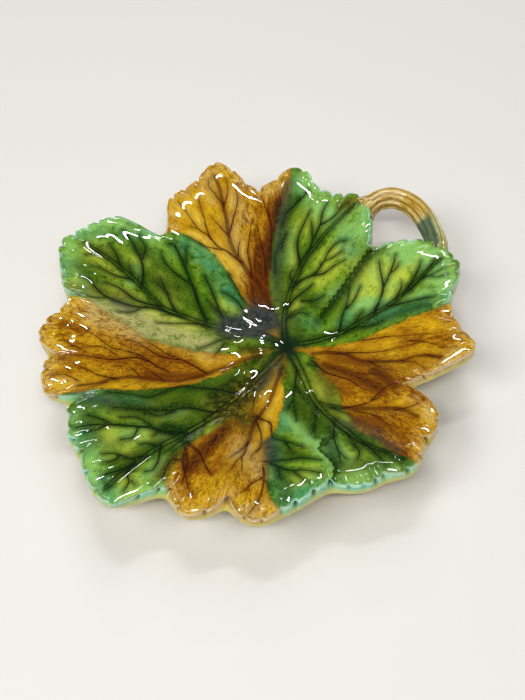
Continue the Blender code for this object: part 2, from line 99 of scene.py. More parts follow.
# The notches between the teeth: (bearing, depth in mm).
NOTCHES: Row = (
    (5, 1.4), (11, 1.6), (16, 1.5), (23.5, 2.2), (27, 1.2), (31, 1.4), (34.5, 1.2), (38.5, 1.5), (43, 1.3),
    (46, 1.4), (49.5, 1.4), (53.5, 1.4), (57, 1.2), (63, 1.7), (67, 1.6), (71.5, 1.7), (75, 1.6),
    (78.5, 1.0), (87, 1.0), (93.5, 2.0), (97.5, 1.6), (100.5, 1.4), (105, 1.0), (111, 1.6), (116, 1.2),
    (120.5, 1.6), (126, 1.6), (130.5, 1.0), (137.5, 1.2), (141, 1.6), (143.8, 1.6), (147, 2.2), (151, 1.6),
    (154, 2.2), (158.5, 2.2), (161, 1.4), (164.5, 2.4), (170.5, 1.4), (174, 1.6), (178, 1.5), (183.5, 2.6),
    (187.5, 1.6), (192.5, 1.8), (195.5, 1.6), (198.5, 2.6), (202, 1.8), (205.5, 1.4), (208.5, 2.2),
    (212, 2.4), (217.5, 2.0), (222, 1.8), (226, .8), (230, 1.9), (232.8, 1.8), (235.5, 2.0), (239.5, 1.5),
    (245.5, 1.6), (250, 2.8), (255, 1.5), (259, 1.4), (263.5, 1.2), (267, 2.2), (272, 2.1), (277, 2.4),
    (281.5, 1.3), (285.5, 1.0), (288.5, 1.7), (291, 1.4), (297, 2.0), (302, 1.7), (307, 2.2), (313.5, 1.8),
    (320.5, 2.2), (327.5, 1.6), (341.5, 1.0), (347.5, 1.2), (353.5, 1.2), (359.5, 1.6),
)

# The ribs from the middle to the tips: half width in mm at the inner and at the outer end, crest, then
# percent and bearing of each place. The crest is how far a rib stands out of its trough, as a share of its
# half width.
MAIN_RIBS: tuple[Flat, ...] = (
    (1.4, .6, .45, 5, 138, 12, 143, 20, 152, 28, 154, 34, 156, 46, 157, 51, 157, 56, 155,
     67, 151, 78, 149, 90, 148),
    (.7, .35, .10, 12, 103, 25, 104, 33, 106, 38, 109, 44, 110, 49, 111, 55, 110, 62, 108,
     68, 107, 75, 106, 81, 106),
    (1.1, .6, .35, 4, 95, 10, 91, 19, 86, 27, 81, 33, 77, 40, 73, 44, 69, 50, 65, 58, 60, 63, 58),
    (1.0, .5, .40, 5, 11, 13, 6, 21, 8, 28, 10, 35, 11, 46, 12, 58, 16, 67, 18),
    (.6, .35, .08, 11, 335, 17, 341, 24, 339, 29, 334, 35, 332, 46, 333, 52, 336, 61, 336),
    (1.7, .6, .55, 5, 292, 12, 289, 20, 287, 27, 286, 34, 287, 48, 290, 61, 293, 74, 298),
    (.8, .4, .15, 30, 287, 34, 292, 39, 298, 43, 302, 48, 306, 57, 311, 65, 311),
    (.5, .4, .08, 10, 253, 18, 251, 25, 250, 33, 247, 40, 246, 50, 248, 57, 246, 60, 245),
    (1.5, .7, .50, 5, 230, 14, 227, 28, 225, 43, 225.5, 52, 225, 61, 224, 69, 223, 77, 223,
     87, 223, 95, 223.5),
    (.6, .35, .08, 12, 195, 20, 194, 30, 196, 37, 198, 47, 198, 55, 195, 62, 193, 69, 193,
     76, 194, 82, 194),
)

# The branches, lobe by lobe: half width in mm at the rib's end, then percent and bearing of each place.
BRANCHES: dict[str, tuple[Flat, ...]] = {
    "upper_left": (
        (1.2, 35, 153, 39, 148, 45, 141, 52, 136, 58, 133, 62, 132, 64, 133),
        (.5, 52, 136, 55, 132, 58, 129), (.6, 46, 140, 52, 140, 56, 140, 61, 139, 64, 137),
        (.9, 47, 156, 51, 152, 55, 148, 58, 146), (.5, 52, 150, 56, 149, 59, 148),
        (.9, 63, 152, 65, 147, 68, 144, 72, 142, 77, 140, 82, 139),
        (.5, 68, 143, 70, 139, 74, 138, 75, 137), (.7, 73, 150, 77, 147, 82, 145), (.4, 68, 150, 71, 148),
        (1.1, 25, 152, 31, 144, 36, 138, 41, 134, 45, 132), (.5, 31, 144, 35, 143, 39, 141),
        (.8, 22, 133, 24, 130, 29, 128, 33, 129, 36, 131),
        (.9, 53, 157, 61, 159, 66, 158, 70, 157, 75, 157),
        (1.1, 43, 157, 54, 159, 62, 162, 72, 162, 78, 160, 82, 158, 85, 158),
        (.7, 67, 151, 73, 153, 78, 153, 81, 153), (.5, 58, 160, 62, 165, 66, 167), (.5, 45, 157, 51, 161),
        (.6, 34, 156, 40, 160, 46, 164, 52, 166), (.5, 20, 158, 25, 165, 30, 173, 35, 178),
        (.4, 25, 172, 29, 184), (.5, 72, 162, 78, 164, 85, 164), (.4, 85, 149, 88, 151),
    ),
    "top": (
        (.7, 56, 109, 61, 105, 66, 102, 72, 101), (.5, 68, 107, 72, 108, 77, 109, 80, 108),
        (.8, 43, 110, 49, 114, 52, 117, 57, 118, 62, 120, 70, 120, 77, 120),
        (.6, 56, 118, 61, 117, 64, 116, 69, 115, 73, 114), (.5, 62, 120, 65, 123),
        (.5, 50, 116, 54, 122, 58, 124, 60, 125), (.5, 46, 110, 49, 108, 51, 106),
        (.5, 55, 110, 60, 112, 64, 113), (.8, 36, 108, 40, 106, 45, 105, 50, 102, 54, 100, 57, 98),
        (.7, 34, 99, 41, 97, 46, 97, 50, 97, 54, 97), (.8, 36, 95, 46, 92, 52, 91, 59, 92, 66, 93),
        (.5, 56, 91, 61, 91, 64, 90), (.5, 67, 107, 72, 104, 78, 103),
        (.5, 22, 120, 29, 123, 36, 121, 40, 121), (.5, 22, 114, 29, 117, 33, 114, 37, 115),
    ),
    "upper_right": (
        (.9, 40, 73, 45, 71, 51, 72, 54, 73), (.8, 46, 71, 53, 69, 58, 69, 62, 68),
        (.9, 37, 75, 43, 78, 48, 78, 53, 76, 58, 74), (.6, 53, 69, 57, 64, 62, 62, 65, 60),
        (.8, 30, 78, 33, 65, 38, 61, 43, 60, 47, 57, 48, 54), (.5, 38, 62, 41, 56, 44, 53),
        (.8, 28, 80, 32, 68, 34, 58, 38, 53, 41, 49), (.6, 30, 80, 33, 82, 35, 80),
        (.8, 19, 86, 23, 76, 27, 66, 29, 63), (.5, 22, 68, 23, 56, 26, 49),
        (.6, 12, 88, 14, 84, 17, 75, 19, 64), (.5, 14, 80, 17, 66, 17, 55),
        (.8, 52, 86, 57, 84, 61, 80, 65, 77, 67, 76), (.5, 60, 81, 64, 79),
        (.7, 34, 92, 40, 91, 44, 88, 49, 84), (.5, 43, 87, 47, 85),
    ),
    "right": (
        (.9, 20, 8, 22, 12, 25, 22, 30, 30, 34, 36), (.6, 28, 26, 32, 27, 37, 31),
        (.5, 28, 11, 31, 15, 33, 17), (1.0, 36, 11, 42, 19, 44, 23, 46, 29, 48, 33),
        (.8, 43, 21, 48, 25, 52, 28, 54, 30), (.5, 48, 25, 51, 25, 53, 26), (.6, 45, 12, 49, 16, 50, 18),
        (.8, 49, 13, 55, 17, 59, 20, 60, 21), (.7, 51, 13, 59, 16, 65, 19), (.5, 57, 15, 62, 14, 66, 14),
        (.7, 42, 11, 51, 6, 58, 4), (.4, 52, 6, 56, 5), (.6, 24, 9, 28, 8, 33, 3, 38, 2),
        (.4, 59, 15, 62, 12, 66, 11),
    ),
    "right_low": (
        (.6, 35, 332, 40, 327, 46, 326), (.5, 47, 333, 53, 332, 57, 330), (.4, 55, 337, 61, 335),
        (.8, 12, 318, 15, 316, 19, 312, 25, 314, 31, 315, 36, 313, 40, 312),
        (.8, 39, 298, 44, 306, 48, 313), (.6, 43, 300, 50, 303, 55, 304), (.5, 56, 310, 60, 313, 62, 315),
        (.6, 36, 293, 40, 295, 45, 297), (.6, 20, 340, 26, 341, 38, 340, 51, 343), (.5, 12, 309, 19, 315),
        (.5, 45, 309, 47, 316, 50, 320), (.5, 48, 345, 54, 343, 61, 340), (.5, 30, 352, 40, 350, 50, 347),
        (.4, 50, 303, 58, 303, 66, 305), (.4, 32, 322, 40, 322, 46, 321),
    ),
    "lower_right": (
        (.7, 10, 286, 15, 278, 21, 272, 27, 270, 38, 270), (.5, 26, 270, 31, 265), (.5, 19, 274, 26, 279),
        (.7, 31, 287, 33, 284, 40, 280, 49, 277), (.5, 41, 279, 47, 276),
        (.8, 43, 289, 46, 287, 52, 284, 59, 283, 65, 282), (.5, 50, 285, 54, 280),
        (.9, 49, 290, 52, 290, 58, 289, 63, 289, 66, 287), (.5, 59, 283, 64, 284),
        (.8, 59, 292, 62, 293, 67, 293, 73, 293), (.5, 66, 295, 68, 296, 72, 297),
    ),
    "lower_right_lap": (
        (.9, 35, 246, 38, 255, 43, 257, 47, 259, 49, 265, 53, 271), (.6, 49, 264, 53, 266, 56, 267),
        (.9, 59, 257, 59, 265, 59, 270, 62, 276), (.8, 60, 259, 64, 265, 65, 270, 68, 275),
        (.5, 65, 267, 70, 270), (.5, 63, 262, 68, 263), (.6, 67, 257, 69, 259, 72, 260),
    ),
    "bottom": (
        (.8, 50, 248, 57, 249, 62, 248, 66, 248), (.5, 59, 249, 62, 250, 66, 251),
        (.8, 37, 246, 44, 252, 51, 254, 55, 253), (.5, 51, 254, 56, 252, 59, 252),
        (.8, 62, 257, 67, 258, 75, 258, 80, 257, 83, 256), (.7, 66, 258, 70, 255, 75, 253),
        (.6, 36, 244, 36, 251, 39, 256), (.7, 62, 229, 64, 236, 67, 239, 70, 242),
        (.9, 66, 231, 70, 233, 73, 235, 77, 238, 79, 239), (.6, 63, 235, 68, 240),
        (.4, 26, 236, 31, 240, 36, 243),
    ),
    "lower_left": (
        (.9, 29, 225, 30, 222, 34, 213, 41, 206, 46, 202, 52, 203, 59, 204, 65, 201, 73, 199),
        (.5, 34, 224, 42, 218), (.9, 41, 225, 43, 223, 49, 215, 54, 213, 60, 210, 66, 207, 73, 204),
        (.5, 54, 214, 60, 213, 64, 210),
        (1.3, 58, 224, 63, 220, 66, 216, 72, 212, 78, 209, 84, 207, 89, 206),
        (.6, 65, 217, 66, 213, 68, 210, 73, 208), (.6, 77, 209, 80, 206, 83, 204),
        (.5, 79, 209, 83, 209, 87, 208), (.6, 70, 214, 74, 216, 78, 215), (.5, 62, 221, 65, 219, 68, 219),
        (.9, 76, 223, 78, 222, 81, 221, 83, 218, 87, 216), (.6, 83, 219, 86, 219, 89, 218),
        (.5, 70, 222, 72, 220, 74, 219), (.9, 81, 223, 87, 222, 91, 221, 93, 221),
        (.8, 83, 223, 86, 224, 88, 226, 92, 227), (.4, 87, 226, 88, 228),
        (.8, 68, 223, 70, 224, 75, 227, 79, 228, 81, 227),
        (1.4, 58, 225, 63, 229, 69, 234, 74, 236, 78, 237),
        (.7, 67, 233, 69, 233, 72, 230, 76, 231, 80, 232), (.6, 60, 226, 66, 226, 70, 226),
        (.5, 62, 228, 67, 228, 69, 228), (.8, 61, 228, 63, 235, 66, 238, 69, 242),
        (.5, 48, 225, 51, 227, 55, 230),
    ),
    "left": (
        (.7, 68, 193, 74, 191, 78, 189, 82, 187),
        (.8, 34, 196, 38, 190, 43, 185, 48, 182, 51, 179, 55, 177),
        (.7, 48, 192, 52, 189, 57, 184, 63, 182, 68, 181, 72, 178, 76, 176, 80, 174),
        (.6, 66, 184, 71, 181, 76, 181, 79, 180),
        (.7, 55, 187, 59, 185, 68, 186, 74, 185, 82, 184, 86, 184), (.5, 79, 182, 84, 180, 87, 177),
        (.6, 43, 186, 50, 184, 58, 178, 63, 177), (.5, 59, 193, 61, 190, 63, 188),
        (.5, 51, 196, 55, 191, 58, 188), (.5, 72, 194, 79, 196, 83, 196), (.5, 82, 192, 86, 190, 90, 190),
    ),
}

# Where green glaze meets amber: each amber lobe from its lower bearings to its higher, with rows outwards.
AMBER_LOBES: tuple[tuple[Row, Row], ...] = (
    (((9, 109), (18, 103), (26, 99), (33, 96), (47, 91), (56, 87), (66, 83), (76, 82)),
     ((14, 130), (23, 125), (27, 122), (35, 120), (45, 120), (54, 122), (62, 126), (69, 132))),
    (((10, 331), (19, 307), (30, 303), (39, 297), (50, 294), (61, 296), (72, 298), (80, 300)),
     ((12, 351), (29, 353), (39, 356), (48, 357), (59, 358), (64, 359))),
    (((14, 233), (22, 230), (32, 231), (49, 232), (63, 229), (74, 231), (84, 235)),
     ((11, 256), (24, 261), (41, 259), (48, 256), (59, 258), (70, 259), (77, 261), (82, 263.5))),
    (((9, 185), (19, 183), (29, 181), (36, 180), (44, 178), (53, 176), (61, 172), (69, 169), (79, 166)),
     ((13, 195), (27, 201), (42, 203), (57, 201), (73, 198), (87, 196))),
)


class Tint(Enum):
    """A wash of colour over part of the leaf: brushed or run glaze, and for the grey smoke also a painted
    sheen.
    """

    YELLOW = "yellow"
    TEAL = "teal"
    PALE = "pale"
    SMOKE_AND_SHEEN = "smoke_and_sheen"
    OLIVE = "olive"
    BROWN = "brown"
    DEEP = "deep"
    GOLD = "gold"
    STRAW = "straw"


# Brushed washes, the grey one partly a painted sheen: strength, half width in mm, then percent and bearing of
# each place.
WASHES: dict[Tint, tuple[Flat, ...]] = {
    Tint.YELLOW: (
        (.9, 6, 89, 164, 76, 165), (.8, 8, 86, 149, 75, 151), (.6, 7, 62, 160, 72, 158),
        (.9, 7, 39, 60, 46, 53), (.9, 5, 13, 88, 21, 75), (.7, 5, 63, 59, 56, 65), (1.1, 8, 37, 30, 43, 18),
        (1.0, 7, 50, 28, 57, 24), (.6, 7, 71, 206, 60, 209), (.9, 7, 81, 212, 78, 217),
        (.9, 6, 88, 226, 90, 229), (1.0, 5, 38, 293, 43, 297), (.7, 5, 64, 286, 71, 286),
        (.6, 5, 69, 269, 66, 272), (.9, 4, 7, 284, 19, 287, 30, 287), (.6, 6, 30, 73, 20, 84),
        (.7, 6, 55, 72, 50, 80), (.7, 5, 58, 146, 50, 152), (.6, 5, 42, 218, 30, 217),
        (.8, 5, 52, 215, 60, 214), (.9, 5, 55, 162, 40, 162), (1.0, 5, 21, 292, 33, 292),
        (.9, 5, 83, 209, 79, 212), (.9, 5, 71, 216, 64, 222), (.8, 4, 88, 214, 85, 217),
        (.9, 5, 53, 226, 54, 232), (1.0, 5, 42, 39, 33, 31), (.8, 5, 31, 58, 41, 49),
        (.7, 4, 72, 146, 66, 144), (.7, 4, 33, 138, 28, 135), (.8, 4, 45, 83, 35, 80),
        (.9, 5, 20, 299, 45, 294), (1.0, 6, 45, 34, 48, 18), (1.3, 5, 54, 163, 39, 161),
        (.9, 5, 87, 160, 74, 163), (.5, 4, 87, 213, 78, 217), (1.4, 7, 42, 35, 50, 22),
        (1.3, 6, 45, 18, 40, 34), (1.3, 5, 54, 165, 39, 161),
    ),
    Tint.TEAL: (
        (.9, 6, 60, 129, 50, 127, 40, 126, 30, 127), (.8, 5, 48, 54, 45, 48), (.6, 5, 14, 62, 15, 37),
        (.9, 5, 35, 8, 45, 4, 54, 1), (.7, 4, 23, 16, 28, 20), (.9, 5, 86, 197, 75, 200, 63, 205),
        (.8, 5, 86, 208, 93, 212), (.9, 4, 94, 222, 97, 226), (.7, 4, 50, 259, 60, 261, 78, 263),
        (.9, 6, 78, 266, 74, 272), (.6, 4, 71, 131, 80, 140, 95, 147), (.6, 4, 62, 2, 67, 6),
        (.6, 5, 72, 83, 67, 79), (.7, 4, 26, 259, 42, 263), (.7, 4, 94, 156, 90, 163),
        (.7, 3, 62, 50, 52, 43), (.6, 3, 61, 281, 54, 281),
    ),
    Tint.PALE: (
        (.6, 5, 97, 148, 91, 155, 82, 162), (.7, 4, 95, 146, 89, 140, 71, 135), (.6, 4, 57, 125, 49, 124),
        (.7, 3, 68, 147, 67, 153), (1.0, 6, 71, 78, 61, 72, 56, 61), (.9, 5, 51, 56, 56, 49, 63, 52),
        (.6, 4, 49, 82, 39, 84), (.7, 3, 24, 50, 31, 40), (1.0, 7, 57, 32, 65, 19, 64, 6),
        (.8, 4, 32, 29, 37, 30), (.8, 4, 50, 8, 59, 6), (.7, 3, 29, 20, 33, 20),
        (.8, 6, 86, 202, 88, 208, 91, 216), (.9, 5, 97, 219, 96, 226, 84, 233), (.6, 6, 75, 214, 62, 221),
        (.7, 5, 83, 229, 75, 228), (.8, 3, 52, 215, 58, 214), (.6, 4, 72, 283, 79, 298),
        (1.0, 4, 34, 261, 40, 268, 49, 274, 57, 278), (.9, 3, 56, 276, 65, 279, 70, 279),
        (1.0, 3, 80, 264, 75, 274), (.7, 4, 51, 282, 66, 284), (.8, 5, 41, 255, 27, 258),
        (1.4, 7, 64, 20, 65, 8), (1.3, 5, 34, 23, 40, 10), (.5, 5, 44, 30, 47, 19), (.9, 5, 56, 26, 62, 22),
        (1.1, 6, 35, 21, 42, 9),
    ),
    # grey smoky glaze; its strokes in the middle of the bowl also stand for a painted reflection, a grey
    # sheen
    Tint.SMOKE_AND_SHEEN: (
        (1.3, 7, 25, 151, 19, 136, 14, 118), (1.3, 6, 21, 121, 16, 112), (1.0, 5, 26, 155, 12, 140),
        (.6, 3, 70, 83, 56, 86, 48, 88), (.4, 3, 47, 88, 36, 91, 21, 96),
        (.45, 3, 46, 292, 58, 297, 70, 299), (.8, 4, 49, 257, 57, 259), (.5, 3, 69, 163, 63, 164),
        (.5, 3, 84, 198, 72, 202), (.5, 4, 10, 236, 22, 238),
    ),
    Tint.OLIVE: (
        (1.3, 8, 41, 228, 30, 228, 19, 226), (.9, 5, 33, 236, 15, 236), (1.2, 8, 36, 227, 39, 241),
        (.8, 4, 86, 162, 75, 161, 64, 159), (.7, 5, 18, 304, 30, 299), (.9, 4, 17, 177, 10, 182),
        (.15, 8, 69, 169, 53, 174, 36, 178), (.6, 4, 19, 210, 11, 200), (.9, 5, 80, 231, 70, 230),
        (1.0, 4, 62, 62, 67, 57), (.8, 4, 8, 236, 14, 262), (.5, 5, 35, 160, 20, 166),
    ),
    Tint.BROWN: (
        (1.8, 7, 20, 110, 32, 104, 44, 97), (1.4, 5, 47, 93, 61, 87), (1.5, 5, 26, 114, 36, 107),
        (1.0, 5, 50, 98, 34, 104, 20, 114), (.6, 4, 68, 95, 55, 96), (.6, 3, 40, 118, 24, 119),
        (.5, 3, 65, 98, 53, 105), (.3, 3, 72, 172, 67, 167), (1.1, 4, 87, 174, 79, 176),
        (.6, 5, 30, 185, 15, 189), (.6, 5, 62, 354, 52, 3), (.7, 5, 62, 342, 48, 350),
        (1.0, 5, 62, 318, 50, 322), (.9, 5, 84, 184, 64, 187, 41, 191), (1.2, 5, 56, 193, 47, 195, 37, 197),
        (.7, 4, 71, 177, 45, 187), (.5, 4, 89, 174, 80, 170), (1.0, 5, 53, 184, 38, 189),
        (.2, 4, 69, 172, 61, 178), (.6, 3, 86, 178, 79, 182), (.5, 3, 89, 189, 81, 188),
        (1.3, 6, 18, 320, 30, 320, 46, 315), (1.1, 7, 18, 332, 35, 330), (.9, 5, 24, 338, 17, 342),
        (1.1, 6, 48, 298, 59, 302, 68, 302), (.8, 4, 46, 345, 59, 345), (1.3, 6, 50, 318, 38, 325),
        (.8, 6, 60, 186, 45, 188), (.6, 3, 54, 316, 58, 323), (1.2, 6, 64, 236, 56, 237, 48, 238),
        (.8, 4, 76, 236, 80, 240), (.5, 4, 64, 253, 76, 254), (.9, 4, 55, 241, 68, 242),
        (.7, 4, 46, 243, 58, 242), (.6, 3, 80, 250, 84, 252), (1.0, 5, 14, 320, 36, 306),
        (.9, 5, 29, 320, 41, 329), (1.2, 6, 38, 291, 60, 300), (.9, 5, 53, 307, 64, 308),
        (1.0, 5, 49, 313, 56, 324), (1.2, 4, 59, 296, 73, 299), (1.4, 6, 72, 236, 57, 236, 47, 236),
    ),
    Tint.DEEP: (
        (.9, 6, 67, 206, 46, 209, 27, 208), (.9, 4, 26, 209, 10, 191), (.9, 3, 10, 191, 2, 124),
        (.8, 4, 64, 214, 41, 224), (.8, 3, 87, 220, 59, 222), (.9, 5, 74, 204, 58, 215),
        (.9, 6, 46, 214, 27, 212), (.8, 5, 71, 141, 57, 142, 45, 143), (.8, 4, 84, 148, 60, 150, 39, 148),
        (.8, 3, 37, 146, 22, 144), (.8, 5, 9, 50, 21, 90, 33, 89), (1.0, 4, 49, 39, 33, 37, 17, 37),
        (.6, 4, 37, 76, 21, 78), (.6, 3, 46, 68, 37, 70), (.9, 4, 10, 17, 24, 7, 37, 3),
        (.9, 4, 37, 4, 54, 1), (.8, 3, 46, 38, 53, 36), (.7, 4, 30, 12, 45, 9),
        (.9, 5, 30, 90, 48, 85, 62, 82), (1.0, 6, 27, 282, 40, 283, 49, 284), (.9, 5, 29, 274, 44, 277),
        (.8, 4, 52, 258, 55, 264, 58, 270), (.7, 4, 30, 296, 50, 290), (.8, 4, 50, 290, 65, 293, 77, 298),
        (.8, 4, 64, 262, 72, 265, 80, 264), (.8, 3, 55, 281, 68, 280), (.7, 3, 17, 279, 29, 269),
        (1.0, 6, 1, 124, 1, 142), (1.0, 4, 1, 124, 7, 40), (.9, 3, 2, 236, 14, 285),
        (.8, 3, 3, 202, 13, 214), (1.0, 4, 3, 80, 10, 96), (.9, 5, 20, 275, 47, 282),
        (.7, 4, 20, 257, 32, 268), (.8, 5, 67, 283, 75, 293), (.9, 6, 39, 217, 23, 213),
        (.9, 5, 62, 221, 51, 220), (.8, 7, 84, 201, 86, 212), (.9, 5, 59, 201, 26, 212),
        (.8, 5, 81, 200, 58, 211), (.7, 5, 88, 155, 77, 158), (.6, 6, 63, 144, 45, 147),
        (.7, 6, 64, 303, 74, 298), (1.2, 7, 69, 205, 61, 210, 48, 213), (1.2, 6, 64, 219, 54, 224),
        (1.2, 7, 37, 216, 26, 218), (1.0, 7, 61, 148, 50, 145), (.9, 6, 68, 285, 72, 291),
        (.9, 5, 22, 262, 30, 267), (.8, 5, 80, 148, 69, 148), (.8, 5, 25, 72, 22, 51),
        (1.0, 6, 67, 197, 48, 199), (.9, 6, 60, 203, 40, 208), (.9, 6, 45, 219, 33, 222),
        (1.5, 7, 37, 216, 26, 215), (1.5, 7, 61, 219, 57, 225), (.8, 6, 47, 289, 60, 298),
        (.6, 6, 85, 154, 78, 156), (.6, 5, 85, 215, 77, 216), (.8, 5, 68, 285, 73, 290),
    ),
    Tint.GOLD: (
        (.9, 7, 79, 122, 58, 120), (.3, 7, 87, 174, 71, 179), (.8, 6, 88, 192, 70, 196),
        (.4, 5, 26, 352, 61, 354), (1.1, 4, 11, 246, 22, 248, 32, 253, 46, 253), (.6, 5, 83, 244, 76, 250),
        (.5, 5, 82, 257, 79, 253), (.5, 6, 58, 328, 65, 335), (1.1, 4, 8, 190, 20, 190, 35, 186),
        (.7, 4, 55, 199, 35, 200), (1.0, 3, 12, 341, 17, 331), (.8, 5, 66, 114, 50, 112),
        (.8, 4, 87, 183, 75, 186), (.6, 5, 30, 338, 56, 351), (.5, 5, 50, 338, 66, 339),
        (.8, 5, 56, 312, 72, 313), (1.0, 6, 59, 111, 46, 111), (1.0, 6, 54, 244, 63, 251),
        (1.2, 4, 33, 252, 21, 258), (1.1, 6, 82, 107, 71, 110), (1.7, 8, 59, 125, 50, 118, 38, 115),
        (1.3, 7, 73, 120, 63, 118), (1.3, 6, 56, 109, 45, 109), (1.1, 5, 74, 117, 74, 110),
        (1.0, 5, 75, 105, 64, 103), (1.0, 5, 50, 241, 54, 252), (1.2, 5, 22, 240, 35, 254),
        (1.6, 7, 53, 122, 47, 117), (1.3, 6, 58, 244, 60, 250),
    ),
    Tint.STRAW: (
        (1.0, 8, 65, 166, 53, 168, 42, 171, 32, 175), (1.0, 5, 76, 166, 65, 169),
        (1.8, 8, 74, 169, 66, 170, 59, 172), (1.0, 5, 60, 171, 46, 174), (.9, 5, 60, 106, 49, 109),
        (.8, 5, 76, 96, 68, 92), (.9, 6, 50, 244, 59, 252, 65, 256), (.8, 5, 69, 103, 59, 101),
        (.7, 3, 66, 91, 67, 86), (.6, 3, 92, 180, 90, 186), (.6, 4, 82, 107, 71, 110),
        (.5, 3, 91, 190, 83, 193), (.8, 4, 80, 258, 84, 254), (.6, 4, 68, 314, 60, 317),
        (.6, 3, 65, 340, 62, 331), (.5, 5, 45, 108, 36, 110),
    ),
}

# Gentle swells that carry a highlight: height and half width in mm, then percent and bearing of each place.
SWELLS: tuple[Flat, ...] = (
    (.26, 6.0, 30, 162, 21, 157, 17, 160, 8, 154), (-.20, 3.0, 27, 358, 30, 358),
)

# Pleats between the lobes: (places, height as a share of the fold's rise, half width).
NARROW, BROAD = 0.0045, 0.0075
FOLDS: tuple[tuple[Row, float, float], ...] = (
    (((45, 172), (62, 169), (85, 165.5)), .80, NARROW),
    (((30, 126), (50, 126.5), (70, 130)), .55, BROAD),
    (((30, 97), (50, 90), (74, 84)), .70, NARROW),
    (((35, -3.5), (50, -1.5), (64, -1.5)), .40, BROAD),
    (((30, -33), (45, -38), (56, -40)), .75, BROAD),
    (((52, -115), (65, -113), (80, -110)), .80, NARROW),
    (((50, -128.5), (65, -127), (84, -125)), .50, BROAD),
    (((45, -160), (65, -162.5), (86, -162)), .70, NARROW),
)
# The sharp crease beside one pleat: (places, offset and half width in mm).
CREASES: tuple[tuple[Row, float, float], ...] = (
    (((28, 100), (36, 97), (45, 92), (53, 88), (66, 84.5)), .6, 1.5),
)
# Lapped edges: the blade on the side of higher bearings stands above its neighbour (1) or below it (-1).
LAPS: tuple[tuple[Row, float], ...] = (
    (((18, 41), (35, 41), (50, 41.2)), 1.0),
    (((50, -80.5), (56, -84), (62, -81.5), (66, -80.6), (73, -83.2)), -1.0),
)
# The troughs in which the main ribs lie.
TROUGHS: tuple[Row, ...] = (
    ((10, 145), (20, 154), (50, 156.5), (65, 152), (90, 149)),
    ((10, 108), (25, 112), (50, 111.5), (65, 108), (80, 105)),
    ((10, 93), (25, 82), (40, 74), (55, 67.5), (64, 61)),
    ((10, 6), (25, 8.8), (45, 12), (65, 17.5)),
    ((30, -62), (40, -60), (50, -52), (62, -46.5)),
    ((10, -71), (30, -73.5), (50, -70), (75, -62)),
    ((20, -110), (45, -108), (60, -104), (80, -102)),
    ((20, -112), (45, -113), (60, -118), (82, -119.5)),
    ((10, -133), (30, -134.5), (60, -135.5), (95, -136.3)),
    ((15, -165.5), (45, -164), (70, -167), (85, -167)),
)
# The stem's middle line: x and y as shares of the reach, then the share of the way up from just under the
# lip to the crown of the loop. It starts at the rim of the upper right lobe, and its last point is the root.
STEM_PATH: tuple[tuple[float, float, float], ...] = (
    (.355, .524, .56), (.385, .542, .70), (.415, .554, .84), (.450, .565, .96),
    (.500, .566, 1.00), (.546, .547, .95), (.584, .515, .85), (.614, .471, .68),
    (.635, .421, .44), (.648, .373, .20), (.650, .328, .04), (.637, .283, .00),
    (.602, .240, .00), (.555, .205, .00),
)

# The fields that hold the washes, three to each.
FIELDS_OF_WASHES: dict[str, tuple[Tint, ...]] = {
    "wash": (Tint.YELLOW, Tint.TEAL, Tint.PALE),
    "stain": (Tint.SMOKE_AND_SHEEN, Tint.OLIVE, Tint.BROWN),
    "pool": (Tint.DEEP, Tint.GOLD, Tint.STRAW),
}


def ramp(value: Grid | float, low: float, high: float) -> Grid:
    """0 below low, 1 above high and a smooth step between; low may be the larger."""
    u = np.clip((value - low) / (high - low), 0.0, 1.0)
    return u * u * (3 - 2 * u)


def bell(value: Grid, half_width: Grid | float) -> Grid:
    """1 at zero, falling off smoothly past the half width."""
    return np.exp(-((value / half_width) ** 2))


def polar(reach: Grid | float, turn: Grid | float) -> tuple[Grid, Grid]:
    """Plan coordinates of a reach and a bearing."""
    return reach * np.cos(np.radians(turn)), reach * np.sin(np.radians(turn))


def tone(code: str) -> tuple[float, float, float, float]:
    """The linear colour of a screen colour.

    Args:
        code: Six hexadecimal digits, red first.

    Returns:
        Linear red, green and blue, and an alpha of 1.
    """
    screen = [int(code[k : k + 2], 16) / 255 for k in (0, 2, 4)]
    linear = [c / 12.92 if c <= 0.04045 else ((c + 0.055) / 1.055) ** 2.4 for c in screen]
    return (*linear, 1.0)


def paired(flat: Flat | list[float]) -> Row:
    """A row from a flat list of percents and bearings."""
    return tuple(zip(flat[::2], flat[1::2]))


def ends(row: Row) -> tuple[float, float]:
    """Shares of the reach where a row begins and ends."""
    return row[0][0] / 100, row[-1][0] / 100


def closed_curve(points: Row, bearings: Grid) -> Grid:
    """A smooth closed curve through (bearing, value) points that doesn't overshoot a tip or a notch.

    Args:
        points: The points, in any order.
        bearings: Where to read it.

    Returns:
        Its value at each bearing.
    """
    ordered = sorted((bearing % 360.0, value) for bearing, value in points)
    turn = np.array([p[0] for p in ordered])
    places = np.concatenate([turn - 360.0, turn, turn + 360.0])
    values = np.tile(np.array([p[1] for p in ordered]), 3)
    step = np.diff(places)
    chord = np.diff(values) / step
    before, after = chord[:-1], chord[1:]
    same_way = before * after > 0
    weight_a, weight_b = 2 * step[1:] + step[:-1], step[1:] + 2 * step[:-1]
    mean = (weight_a + weight_b) / (
        weight_a / np.where(same_way, before, 1.0) + weight_b / np.where(same_way, after, 1.0)
    )
    slopes = np.zeros_like(values)
    slopes[1:-1] = np.where(same_way, mean, 0.0)
    index = np.clip(np.searchsorted(places, bearings) - 1, 0, len(places) - 2)
    width = places[index + 1] - places[index]
    u = (bearings - places[index]) / width
    start = (1 + 2 * u) * (1 - u) ** 2 * values[index] + u * (1 - u) ** 2 * width * slopes[index]
    end = u**2 * (3 - 2 * u) * values[index + 1] + u**2 * (u - 1) * width * slopes[index + 1]
    return start + end


